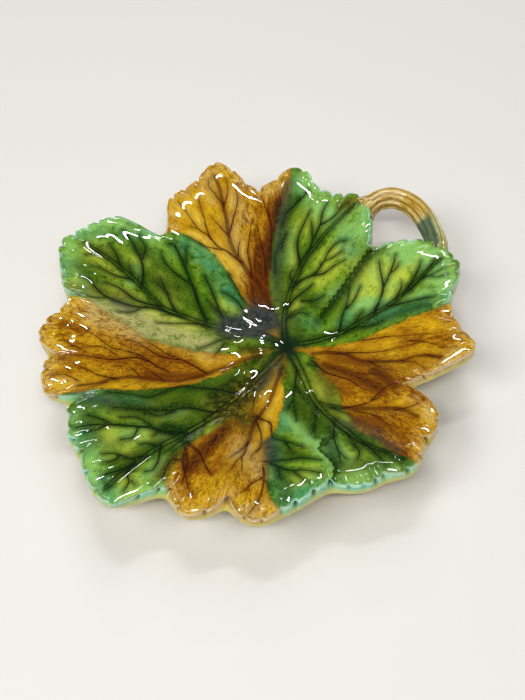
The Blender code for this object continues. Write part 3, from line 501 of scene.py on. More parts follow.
def smooth_line(points: Grid, per_span: int) -> Grid:
    """A smooth open curve through points.

    Args:
        points: One row for each point, of any number of columns.
        per_span: Steps between two neighbouring points.

    Returns:
        The rows of the curve, its ends included.
    """
    padded = np.concatenate([[2 * points[0] - points[1]], points, [2 * points[-1] - points[-2]]])
    places = np.linspace(0, len(points) - 1, per_span * (len(points) - 1) + 1)
    index = np.clip(places.astype(int), 0, len(points) - 2)
    u = (places - index)[:, None]
    a, b, c, d = (padded[index + k] for k in range(4))
    return b + 0.5 * u * (c - a + u * (2 * a - 5 * b + 4 * c - d + u * (3 * (b - c) + d - a)))


@dataclass
class LeafPlan:
    """The leaf's outline and heights, in metres round the meeting point of its ribs."""

    reach: float = 0.134
    bowl_depth: float = 0.026
    thickness: float = 0.005
    floor_clearance: float = 0.004
    lip_height: float = 0.0080
    lip_flare: float = 0.0012
    lower_smoothing_deg: float = 2.0
    bowl_smoothing_deg: float = 14.0
    floor_share: float = 0.18
    rounded_share: float = 0.6
    fold_rise: float = 0.004
    lap_rise: float = 0.0024
    lap_edge: float = 0.0011
    lap_run: float = 0.016
    lap_tooth: float = 0.0007
    lap_tooth_pitch: float = 0.0034
    lap_tooth_peak: float = 0.35
    lap_tooth_slope: float = 3.2
    trough_depth: float = 0.0016
    trough_half_width: float = 0.006
    trough_start: float = 0.012
    trough_tip_fade: float = 0.7
    notch_half_width: float = 0.0012
    tooth_crown: float = 0.0004
    steps: int = 3600
    bearings: Grid = field(init=False)
    plain: Grid = field(init=False)
    toothed: Grid = field(init=False)
    notch: Grid = field(init=False)
    lower: Grid = field(init=False)
    bowl: Grid = field(init=False)

    def __post_init__(self) -> None:
        """Works out the outline tables once."""
        self.bearings = np.arange(self.steps) * 360.0 / self.steps
        self.plain = closed_curve(OUTLINE, self.bearings) * self.reach
        self.lower = self.smoothed(self.plain, self.lower_smoothing_deg) + self.lip_flare
        self.bowl = self.smoothed(self.plain, self.bowl_smoothing_deg)
        self.cut_teeth()

    def smoothed(self, table: Grid, spread_deg: float) -> Grid:
        """An outline table, averaged over neighbouring bearings.

        Args:
            table: The values round the leaf.
            spread_deg: How far a bearing still counts.

        Returns:
            The averaged table.
        """
        order = np.arange(self.steps)
        offsets = np.minimum(order, self.steps - order) * 360.0 / self.steps
        kernel = np.exp(-0.5 * (offsets / spread_deg) ** 2)
        kernel /= kernel.sum()
        return np.real(np.fft.ifft(np.fft.fft(table) * np.fft.fft(kernel)))

    def cut_teeth(self) -> None:
        """Cuts the notches into the upper outline and crowns the teeth between them."""
        x, y = polar(self.plain, self.bearings)
        steps = np.hypot(np.roll(x, -1) - x, np.roll(y, -1) - y)
        run = np.cumsum(steps) - steps
        perimeter = steps.sum()
        cut = np.zeros(self.steps)
        nearest = np.full(self.steps, perimeter)
        for bearing, depth_mm in NOTCHES:
            place = np.interp(bearing, self.bearings, run)
            gap = (run - place + perimeter / 2) % perimeter - perimeter / 2
            cut = np.maximum(cut, depth_mm * MM * bell(gap, self.notch_half_width))
            nearest = np.minimum(nearest, np.abs(gap))
        crown = self.tooth_crown * ramp(nearest, 0.0, 0.004)
        self.notch = cut
        self.toothed = self.plain + crown - cut

    def at(self, table: Grid, turn: Grid) -> Grid:
        """One value of an outline table for each bearing."""
        return np.interp(np.mod(turn, 360.0), self.bearings, table, period=360.0)

    def gap_to(self, x: Grid, y: Grid, row: Row) -> Grid:
        """Signed distance round the middle from a row that runs outwards, positive at higher bearings."""
        reach = np.hypot(x, y)
        percents, turns = np.array(row, dtype=float).T
        row_turn = np.interp(reach / self.reach, percents / 100, turns)
        gap = (np.degrees(np.arctan2(y, x)) - row_turn + 180.0) % 360.0 - 180.0
        return np.radians(gap) * reach

    def lap_gap(self, x: Grid, y: Grid, row: Row, side: float) -> Grid:
        """Signed distance from a lap's serrated edge, positive on the blade that lies on top."""
        reach = np.hypot(x, y)
        wave = np.abs((reach / self.lap_tooth_pitch) % 1.0 - self.lap_tooth_peak)
        return side * self.gap_to(x, y, row) + self.lap_tooth * (1 - self.lap_tooth_slope * wave)

    def rise_of_bowl(self, x: Grid, y: Grid) -> Grid:
        """Height of the plain bowl above its floor."""
        share = np.hypot(x, y) / self.at(self.bowl, np.degrees(np.arctan2(y, x)))
        u = np.clip((share - self.floor_share) / (1 - self.floor_share), 0.0, None)
        rounded = np.minimum(u, 1.0) ** 2 * (3 - 2 * np.minimum(u, 1.0))
        return self.bowl_depth * (self.rounded_share * rounded + (1 - self.rounded_share) * u**1.4)

    def folds(self, x: Grid, y: Grid) -> Grid:
        """Height of the pleats between the lobes, which show on both faces."""
        share = np.hypot(x, y) / self.reach
        relief = np.zeros_like(share)
        for row, height, half_width in FOLDS:
            inner, outer = ends(row)
            run_in = ramp(share, inner, 0.4 * inner + 0.6 * outer)
            relief += self.fold_rise * height * run_in * bell(self.gap_to(x, y, row), half_width)
        return relief

    def laps(self, x: Grid, y: Grid) -> Grid:
        """Height of the lapped edges."""
        share = np.hypot(x, y) / self.reach
        relief = np.zeros_like(share)
        for row, side in LAPS:
            gap = self.lap_gap(x, y, row, side)
            inner, outer = ends(row)
            run_in = ramp(share, inner, inner + 0.4 * (outer - inner))
            edge = ramp(gap, -self.lap_edge, self.lap_edge)
            relief += self.lap_rise * run_in * edge * np.exp(-np.abs(gap) / self.lap_run)
        return relief

    def troughs(self, x: Grid, y: Grid) -> Grid:
        """Depth of the troughs in which the main ribs lie, below zero."""
        reach = np.hypot(x, y)
        relief = np.zeros_like(reach)
        for row in TROUGHS:
            inner, outer = ends(row)
            tip = outer * self.reach
            fade = ramp(reach, self.trough_start, 2 * self.trough_start)
            fade = fade * (1 - self.trough_tip_fade * ramp(reach, 0.85 * tip, 1.1 * tip))
            fade = fade * ramp(reach / self.reach, inner, inner + 0.1)
            relief -= self.trough_depth * fade * bell(self.gap_to(x, y, row), self.trough_half_width)
        return relief

    def underside(self, x: Grid, y: Grid) -> Grid:
        """Height of the underside."""
        return self.floor_clearance + self.rise_of_bowl(x, y) + self.folds(x, y)

    def upper(self, x: Grid, y: Grid) -> Grid:
        """Height of the upper face, ribs left out."""
        return self.underside(x, y) + self.thickness + self.laps(x, y) + self.troughs(x, y)

    def plan_row(self, row: Row) -> Grid:
        """Plan points of a row of (percent, bearing)."""
        percents, turns = np.array(row, dtype=float).T
        return np.stack(polar(percents / 100 * self.reach, turns), axis=-1)


@dataclass
class Vein:
    """One rib or branch: close points of its middle line and its half width at each, in millimetres."""

    line: Grid
    half_width: Grid
    crest: float

    @classmethod
    def drawn(cls, plan: LeafPlan, row: Row, start_mm: float, end_mm: float, crest: float) -> "Vein":
        """Draws a vein smoothly through the places of a row."""
        line = smooth_line(plan.plan_row(row), 5) / MM
        return cls(line, np.linspace(start_mm, end_mm, len(line)), crest)


@dataclass
class VeinReading:
    """What the nearest vein is at each point, in millimetres: signed gap, distance, half width and crest."""

    gap: Grid
    distance: Grid
    half_width: Grid
    crest: Grid


@dataclass
class VeinNetwork:
    """Veins of one order, which can be asked for the nearest at any point."""

    veins: list[Vein]
    span_mm: float = 14.0

    def read(self, x_mm: Grid, y_mm: Grid) -> VeinReading:
        """Finds the nearest vein.

        Args:
            x_mm: Plan coordinates, in millimetres.
            y_mm: Plan coordinates, in millimetres.

        Returns:
            The reading; points further than the span from every vein read as far away.
        """
        gap, distance = np.full_like(x_mm, FAR_MM), np.full_like(x_mm, FAR_MM)
        width, crest = np.full_like(x_mm, HAIR_MM), np.zeros_like(x_mm)
        for vein in self.veins:
            low, high = vein.line.min(0) - self.span_mm, vein.line.max(0) + self.span_mm
            near = np.nonzero((x_mm > low[0]) & (x_mm < high[0]) & (y_mm > low[1]) & (y_mm < high[1]))[0]
            if not len(near):
                continue
            start, along = vein.line[:-1], np.diff(vein.line, axis=0)
            length = np.maximum((along**2).sum(1), 1e-9)
            off_x, off_y = x_mm[near][:, None] - start[:, 0], y_mm[near][:, None] - start[:, 1]
            u = np.clip((off_x * along[:, 0] + off_y * along[:, 1]) / length, 0.0, 1.0)
            apart = np.hypot(off_x - u * along[:, 0], off_y - u * along[:, 1])
            pick = apart.argmin(1)
            rows = np.arange(len(near))
            best, share = apart[rows, pick], u[rows, pick]
            side = along[pick, 0] * off_y[rows, pick] - along[pick, 1] * off_x[rows, pick]
            here = vein.half_width[pick] * (1 - share) + vein.half_width[pick + 1] * share
            closer = best - here < distance[near] - width[near]
            chosen = near[closer]
            distance[chosen] = best[closer]
            gap[chosen] = np.where(side >= 0, best, -best)[closer]
            width[chosen] = here[closer]
            crest[chosen] = vein.crest
        return VeinReading(gap, distance, width, crest)


@dataclass
class LeafReading:
    """Everything the leaf's relief and glazes need at each point of its plan."""

    ribs: VeinReading
    branches: VeinReading
    rim_mm: Grid
    lap_mm: Grid
    swell_mm: Grid
    washes: dict[Tint, Grid]


@dataclass
class LeafMap:
    """Reads ribs, branches, rim, glaze boundaries and washes at points of the leaf's plan."""

    plan: LeafPlan
    branch_start: float = 0.8
    branch_end: float = 0.22
    rib_net: VeinNetwork = field(init=False)
    branch_net: VeinNetwork = field(init=False)

    def __post_init__(self) -> None:
        """Draws the veins once."""
        ribs = [Vein.drawn(self.plan, paired(row[3:]), *row[:3]) for row in MAIN_RIBS]
        branches = [
            Vein.drawn(self.plan, paired(row), width * self.branch_start, width * self.branch_end, 0.0)
            for rows in BRANCHES.values()
            for width, *row in rows
        ]
        self.rib_net = VeinNetwork(ribs, span_mm=20.0)
        self.branch_net = VeinNetwork(branches, span_mm=9.0)

    def rim_distance(self, x: Grid, y: Grid) -> Grid:
        """Distance from the upper edge, in millimetres."""
        tree = kdtree.KDTree(self.plan.steps)
        for index, (edge_x, edge_y) in enumerate(zip(*polar(self.plan.toothed, self.plan.bearings))):
            tree.insert((edge_x, edge_y, 0.0), index)
        tree.balance()
        return np.array([tree.find((px, py, 0.0))[2] for px, py in zip(x, y)]) / MM

    def amber_distance(self, x: Grid, y: Grid) -> Grid:
        """Signed distance from the nearest boundary of green and amber, in millimetres, positive in amber."""
        gap = self.plan.gap_to
        inside = [np.minimum(gap(x, y, low), -gap(x, y, high)) for low, high in AMBER_LOBES]
        return np.maximum.reduce(inside) / MM

    def lap_distance(self, x: Grid, y: Grid) -> Grid:
        """Signed distance from the nearest lap's edge, in millimetres, below zero on the lower blade."""
        nearest = np.full_like(x, FAR_MM)
        share = np.hypot(x, y) / self.plan.reach
        for row, side in LAPS:
            gap = self.plan.lap_gap(x, y, row, side) / MM
            inner, outer = ends(row)
            gap = np.where((share > inner) & (share < outer + 0.05), gap, FAR_MM)
            nearest = np.where(np.abs(gap) < np.abs(nearest), gap, nearest)
        return nearest

    def wash_strengths(self, x: Grid, y: Grid) -> dict[Tint, Grid]:
        """How strong each brushed wash is, from 0 to 1."""
        found = {tint: np.zeros_like(x) for tint in Tint}
        for tint, strokes in WASHES.items():
            for strength, half_width, *row in strokes:
                found[tint] = np.maximum(found[tint], strength * self.stroke(x, y, half_width, paired(row)))
        return found

    def stroke(self, x: Grid, y: Grid, half_width: float, row: Row) -> Grid:
        """How strong one stroke is: 1 along its middle line, falling off past its half width in mm."""
        points = smooth_line(self.plan.plan_row(row), 4) / MM
        line = VeinNetwork([Vein(points, np.zeros(len(points)), 0.0)], span_mm=2.2 * half_width)
        return bell(line.read(x / MM, y / MM).distance, half_width)

    def swell(self, x: Grid, y: Grid) -> Grid:
        """Height of the gentle swells, in millimetres."""
        return sum(height * self.stroke(x, y, half_width, paired(row)) for height, half_width, *row in SWELLS)

    def read(self, x: Grid, y: Grid) -> LeafReading:
        """Reads everything at plan points in metres."""
        return LeafReading(
            self.rib_net.read(x / MM, y / MM),
            self.branch_net.read(x / MM, y / MM),
            self.rim_distance(x, y),
            self.lap_distance(x, y),
            self.swell(x, y),
            self.wash_strengths(x, y),
        )


@dataclass
class SpunSkin:
    """A closed skin, rolled up in bands along a profile line and then moved to its shape.

    Each band has its own number of steps round, and is rolled into a cone whose height is the place along the
    profile, so that every vertex still tells its bearing and its place when it is moved.
    """

    bands: tuple[tuple[int, Grid], ...]
    ring: bool = False
    softened: tuple[float, float] = (0.0, 0.0)
    smoothings: int = 6
    weld: float = 1e-5

    def spun(self) -> bmesh.types.BMesh:
        """Rolls a grid into each band and bridges the bands; only a ring's ends are joined."""
        bm = bmesh.new()
        for steps, places in self.bands:
            rows = len(places) - 1
            for vert in bmesh.ops.create_grid(bm, x_segments=steps, y_segments=rows, size=1.0)["verts"]:
                place = float(places[round((vert.co.y + 1) / 2 * rows)])
                angle = vert.co.x * math.pi
                vert.co = ((1 + place) * math.cos(angle), (1 + place) * math.sin(angle), place)
        bmesh.ops.remove_doubles(bm, verts=bm.verts, dist=self.weld)
        rims: dict[float, list] = {}
        for edge in bm.edges:
            if edge.is_boundary:
                rims.setdefault(round(sum(v.co.z for v in edge.verts) / 2, 4), []).append(edge)
        ends = [(round(float(places[0]), 4), round(float(places[-1]), 4)) for _, places in self.bands]
        follow = ends[1:] + ends[:1] if self.ring else ends[1:]
        for (_, last), (first, _) in zip(ends, follow):
            bmesh.ops.bridge_loops(bm, edges=rims[last] + rims[first])
        return bm

    def settled(self, bm: bmesh.types.BMesh, along: Grid, raised: Placed) -> Grid:
        """Smooths a relief that lies on the skin, as thick glaze does.

        Args:
            bm: The skin.
            along: Its vertices' places along the profile.
            raised: Their x and y, and the height of the relief there.

        Returns:
            The smoothed height of the relief.
        """
        for vert, point in zip(bm.verts, np.stack(raised, axis=-1)):
            vert.co = point
        soft = [vert for vert, reach in zip(bm.verts, along) if self.softened[0] < reach < self.softened[1]]
        for _ in range(self.smoothings):
            bmesh.ops.smooth_vert(bm, verts=soft, factor=0.5, use_axis_z=True)
        return np.array([vert.co.z for vert in bm.verts])

    def shaped(
        self, name: str, place: Callable[[Grid, Grid], Placed], relief: Callable[[], Grid] | None = None
    ) -> tuple[bpy.types.Object, Grid, Grid]:
        """Moves the spun skin to its shape and wraps it as an object.

        Args:
            name: The piece's name.
            place: Gives x, y and z for bearings in degrees and places along the profile.
            relief: Gives the height of a relief that is smoothed before it is added.

        Returns:
            The object, and its vertices' bearings and places along the profile.
        """
        bm = self.spun()
        spun = np.array([vert.co for vert in bm.verts])
        turn, along = np.degrees(np.arctan2(spun[:, 1], spun[:, 0])), spun[:, 2]
        x, y, z = place(turn, along)
        if relief is not None:
            z = z + self.settled(bm, along, (x, y, relief()))
        for vert, point in zip(bm.verts, np.stack((x, y, z), axis=-1)):
            vert.co = point
        if not self.ring:
            loose = [edge for edge in bm.edges if edge.is_boundary]
            bmesh.ops.holes_fill(bm, edges=loose, sides=0)
        bmesh.ops.recalc_face_normals(bm, faces=bm.faces)
        return as_object(name, bm), turn, along


def as_object(name: str, bm: bmesh.types.BMesh) -> bpy.types.Object:
    """Wraps a finished bmesh as a smooth object at the origin and frees it."""
    mesh = bpy.data.meshes.new(name)
    bm.to_mesh(mesh)
    bm.free()
    mesh.shade_smooth()
    thing = bpy.data.objects.new(name, mesh)
    bpy.context.scene.collection.objects.link(thing)
    return thing


def write_field(thing: bpy.types.Object, name: str, *values: Grid) -> None:
    """Stores three values for each vertex, for the piece's glaze to read.

    Args:
        thing: The piece.
        name: The field's name.
        values: One to three arrays; missing ones are zero.
    """
    rows = np.zeros((len(thing.data.vertices), 3), dtype=np.float32)
    for column, value in enumerate(values):
        rows[: len(value), column] = value
    attribute = thing.data.attributes.new(name, "FLOAT_VECTOR", "POINT")
    attribute.data.foreach_set("vector", rows.ravel())


class Signal:
    """A value or colour on its way between nodes; sums and bands of it add the nodes they need."""

    def __init__(self, bench: "Bench", socket: bpy.types.NodeSocket) -> None:
        """Keeps the socket that the signal comes from."""
        self.bench, self.socket = bench, socket

    def __add__(self, other: "Signal | float") -> "Signal":
        """The sum."""
        return self.bench.math("ADD", self, other)

    def __sub__(self, other: "Signal | float") -> "Signal":
        """The difference."""
        return self.bench.math("SUBTRACT", self, other)

    def __rsub__(self, other: float) -> "Signal":
        """A number less this signal."""
        return self.bench.math("SUBTRACT", other, self)

    def __mul__(self, other: "Signal | float") -> "Signal":
        """The product."""
        return self.bench.math("MULTIPLY", self, other)

    def size(self) -> "Signal":
        """The value without its sign."""
        return self.bench.math("ABSOLUTE", self)

    def most(self, other: "Signal | float") -> "Signal":
        """The larger of the two."""
        return self.bench.math("MAXIMUM", self, other)

    def band(self, low: "Signal | float", high: "Signal | float") -> "Signal":
        """0 at low, 1 at high and a smooth step between; low may be the larger."""
        node = self.bench.add("ShaderNodeMapRange", interpolation_type="SMOOTHSTEP")
        for name, value in (("Value", self), ("From Min", low), ("From Max", high)):
            self.bench.wire(value, node.inputs[name])
        return Signal(self.bench, node.outputs["Result"])


class Bench:
    """Adds nodes to one tree in short calls that return signals."""

    def __init__(self, tree: bpy.types.NodeTree) -> None:
        """Keeps the tree."""
        self.tree = tree

    def add(self, kind: str, **settings: object) -> bpy.types.Node:
        """Adds a node and sets its properties."""
        node = self.tree.nodes.new(kind)
        for name, value in settings.items():
            setattr(node, name, value)
        return node

    def wire(self, value: object, socket: bpy.types.NodeSocket) -> None:
        """Links a signal to a socket, or sets a plain value on it."""
        if isinstance(value, Signal):
            self.tree.links.new(value.socket, socket)
        else:
            socket.default_value = value

    def math(self, operation: str, *values: "Signal | float") -> Signal:
        """One step of arithmetic."""
        node = self.add("ShaderNodeMath", operation=operation)
        for value, socket in zip(values, node.inputs):
            self.wire(value, socket)
        return Signal(self, node.outputs[0])

    def mix(self, share: Signal, first: Signal | str, second: Signal | str) -> Signal:
        """A blend of two signals or screen colours, all of the second where the share is 1."""
        node = self.add("ShaderNodeMix", data_type="RGBA")
        for value, index in ((share, 0), (first, 6), (second, 7)):
            self.wire(tone(value) if isinstance(value, str) else value, node.inputs[index])
        return Signal(self, node.outputs[2])

    def coats(self, colour: Signal, *coats: tuple[Signal, Signal | str]) -> Signal:
        """Lays coats over a colour in order, each given by its share and its own colour."""
        for share, coat in coats:
            colour = self.mix(share, colour, coat)
        return colour

    def object_place(self) -> Signal:
        """The point's own place on the piece."""
        return Signal(self, self.add("ShaderNodeTexCoord").outputs["Object"])

    def field(self, name: str) -> list[Signal]:
        """The three values of a field that was stored on the mesh."""
        node = self.add("ShaderNodeAttribute", attribute_name=name)
        split = self.add("ShaderNodeSeparateXYZ")
        self.tree.links.new(node.outputs["Vector"], split.inputs[0])
        return [Signal(self, socket) for socket in split.outputs]

    def field_vector(self, name: str) -> Signal:
        """A stored field as one vector."""
        return Signal(self, self.add("ShaderNodeAttribute", attribute_name=name).outputs["Vector"])

    def noise(
        self, where: Signal, scale: float, detail: float = 2.0, rough: float = 0.5, twist: float = 0.0
    ) -> Signal:
        """Cloudy noise about 0.5.

        Args:
            where: The vector that it is read at.
            scale: Clouds for each unit of that vector.
            detail: Octaves of finer clouds.
            rough: How strong the finer clouds are.
            twist: How far the clouds are twisted.

        Returns:
            The noise.
        """
        node = self.add("ShaderNodeTexNoise")
        self.wire(where, node.inputs["Vector"])
        given = {"Scale": scale, "Detail": detail, "Roughness": rough, "Distortion": twist}
        for name, value in given.items():
            node.inputs[name].default_value = value
        return Signal(self, node.outputs["Fac"])

    def group(self, tree: bpy.types.NodeTree, **inputs: object) -> dict[str, Signal]:
        """Places a node group and sets its inputs.

        Args:
            tree: The group.
            inputs: Values or signals for its inputs.

        Returns:
            Its outputs by name.
        """
        node = self.add("ShaderNodeGroup", node_tree=tree)
        for name, value in inputs.items():
            self.wire(value, node.inputs[name])
        return {socket.name: Signal(self, socket) for socket in node.outputs}


def new_group(
    name: str, inputs: dict[str, float], outputs: tuple[str, ...]
) -> tuple[bpy.types.NodeTree, Bench, dict[str, Signal], bpy.types.Node]:
    """Starts a node group with value sockets.

    Args:
        name: The group's name.
        inputs: The name and usual value of each input.
        outputs: The names of the outputs.

    Returns:
        The group, a bench for it, its inputs as signals and its output node.
    """
    tree = bpy.data.node_groups.new(name, "ShaderNodeTree")
    for label, usual in inputs.items():
        tree.interface.new_socket(label, in_out="INPUT", socket_type="NodeSocketFloat").default_value = usual
    for label in outputs:
        tree.interface.new_socket(label, in_out="OUTPUT", socket_type="NodeSocketFloat")
    bench = Bench(tree)
    entry, leave = bench.add("NodeGroupInput"), bench.add("NodeGroupOutput")
    return tree, bench, {label: Signal(bench, entry.outputs[label]) for label in inputs}, leave


@dataclass(frozen=True)
class SharedEffects:
    """Effects that every glaze uses: the skin of fired glaze, and the mottle of colours that ran together."""

    skin: bpy.types.NodeTree
    mottle: bpy.types.NodeTree

    @classmethod
    def built(cls) -> "SharedEffects":
        """Builds the groups once."""
        return cls(cls.build_skin(), cls.build_mottle())

    @staticmethod
    def build_skin() -> bpy.types.NodeTree:
        """Height and roughness of fired glaze: slow ripples and pinholes, with gloss that varies a little."""
        tree, bench, given, leave = new_group(
            "glaze_skin", {"Ripple": 0.05, "Pinholes": 0.05, "Gloss": 0.1}, ("Height", "Roughness")
        )
        where = bench.object_place()
        ripple = (bench.noise(where, 170.0, 2.0) - 0.5) * given["Ripple"]
        pinholes = bench.noise(where, 1500.0, 1.0).band(0.30, 0.22) * given["Pinholes"]
        bench.wire(ripple - pinholes, leave.inputs["Height"])
        uneven = (bench.noise(where, 320.0, 3.0) - 0.5) * 0.08
        bench.wire(given["Gloss"] + uneven + pinholes, leave.inputs["Roughness"])
        return tree

    @staticmethod
    def build_mottle() -> bpy.types.NodeTree:
        """Masks of glaze that ran together: broad clouds, small clouds and fine specks."""
        tree, bench, given, leave = new_group("glaze_mottle", {"Shift": 0.0}, ("Clouds", "Patches", "Specks"))
        where = bench.object_place()
        bench.wire(bench.noise(where, 70.0, 4.0, 0.6, 0.4) + given["Shift"], leave.inputs["Clouds"])
        bench.wire(bench.noise(where, 300.0, 3.0, 0.6, 0.6) + given["Shift"], leave.inputs["Patches"])
        bench.wire(bench.noise(where, 1300.0, 2.0, 0.6, 0.3) + given["Shift"], leave.inputs["Specks"])
        return tree


@dataclass(frozen=True)
class Glaze:
    """What every glaze of the dish has in common: the skin of fired glaze, under a clear coat or none."""

    effects: SharedEffects
    slot: str = "leaf_glaze"
    coat: float = 1.0
    coat_roughness: float = 0.02
    coat_ior: float = 1.75
    ripple: float = 0.008
    pinholes: float = 0.0015
    gloss: float = 0.16
    clay_ior: float = 1.5

    def colour(self, bench: Bench) -> tuple[Signal, Signal | None]:
        """The colour, and the share of clear coat where that varies."""
        raise NotImplementedError

    def material(self) -> bpy.types.Material:
        """Builds the material."""
        made = bpy.data.materials.new(self.slot)
        made.use_nodes = True
        shader = made.node_tree.nodes["Principled BSDF"]
        bench = Bench(made.node_tree)
        colour, coat = self.colour(bench)
        skin = bench.group(self.effects.skin, Ripple=self.ripple, Pinholes=self.pinholes, Gloss=self.gloss)
        bump = bench.add("ShaderNodeBump")
        bump.inputs["Distance"].default_value = MM
        bench.wire(skin["Height"], bump.inputs["Height"])
        bench.wire(colour, shader.inputs["Base Color"])
        bench.wire(skin["Roughness"], shader.inputs["Roughness"])
        bench.wire(Signal(bench, bump.outputs["Normal"]), shader.inputs["Normal"])
        plain = {
            "Specular IOR Level": 0.0, "IOR": self.clay_ior, "Coat Weight": self.coat,
            "Coat Roughness": self.coat_roughness, "Coat IOR": self.coat_ior,
        }
        for name, value in plain.items():
            shader.inputs[name].default_value = value
        if coat is not None:
            bench.wire(coat * self.coat, shader.inputs["Coat Weight"])
        return made


class LeafSignals:
    """The leaf's stored fields and the mottle, as signals for its glaze."""

    def __init__(self, bench: Bench, effects: SharedEffects) -> None:
        """Reads every field once and works out how near the veins are."""
        self.rib_gap, self.rib_far, self.rib_wide = bench.field("rib")
        self.twig_gap, self.twig_far, self.twig_wide = bench.field("branch")
        self.amber_mm, self.rim_mm, self.depth = bench.field("site")
        self.yellow, self.teal, self.pale = bench.field("wash")
        # the grey smoke mask is smoky glaze that in the middle of the bowl also stands for a painted sheen
        self.smoke_and_sheen, self.olive, self.brown = bench.field("stain")
        self.deep, self.gold, self.straw = bench.field("pool")
        # dark: the pits under the notches and the crease, darkened as pooled glaze and as painted shade
        self.dark, self.lap_mm, self.core = bench.field("detail")
        self.crest, _, _ = bench.field("crown")
        mottle = bench.group(effects.mottle)
        self.clouds, self.patches, self.specks = (mottle[name] for name in ("Clouds", "Patches", "Specks"))
        grain = bench.field_vector("grain")
        self.fibre = bench.noise(grain, 1.5, 5.0, 0.68, 0.5)
        self.thread = bench.noise(grain, 0.9, 2.0, 0.5, 1.2)
        self.rib_pool = (self.rib_far - self.rib_wide + (self.patches - 0.5) * 3.0).band(4.2, 0.0)
        self.twig_pool = (self.twig_far - self.twig_wide + (self.patches - 0.5) * 1.5).band(3.2, 0.0)
        self.cell = 1.0 - self.rib_pool.most(self.twig_pool)


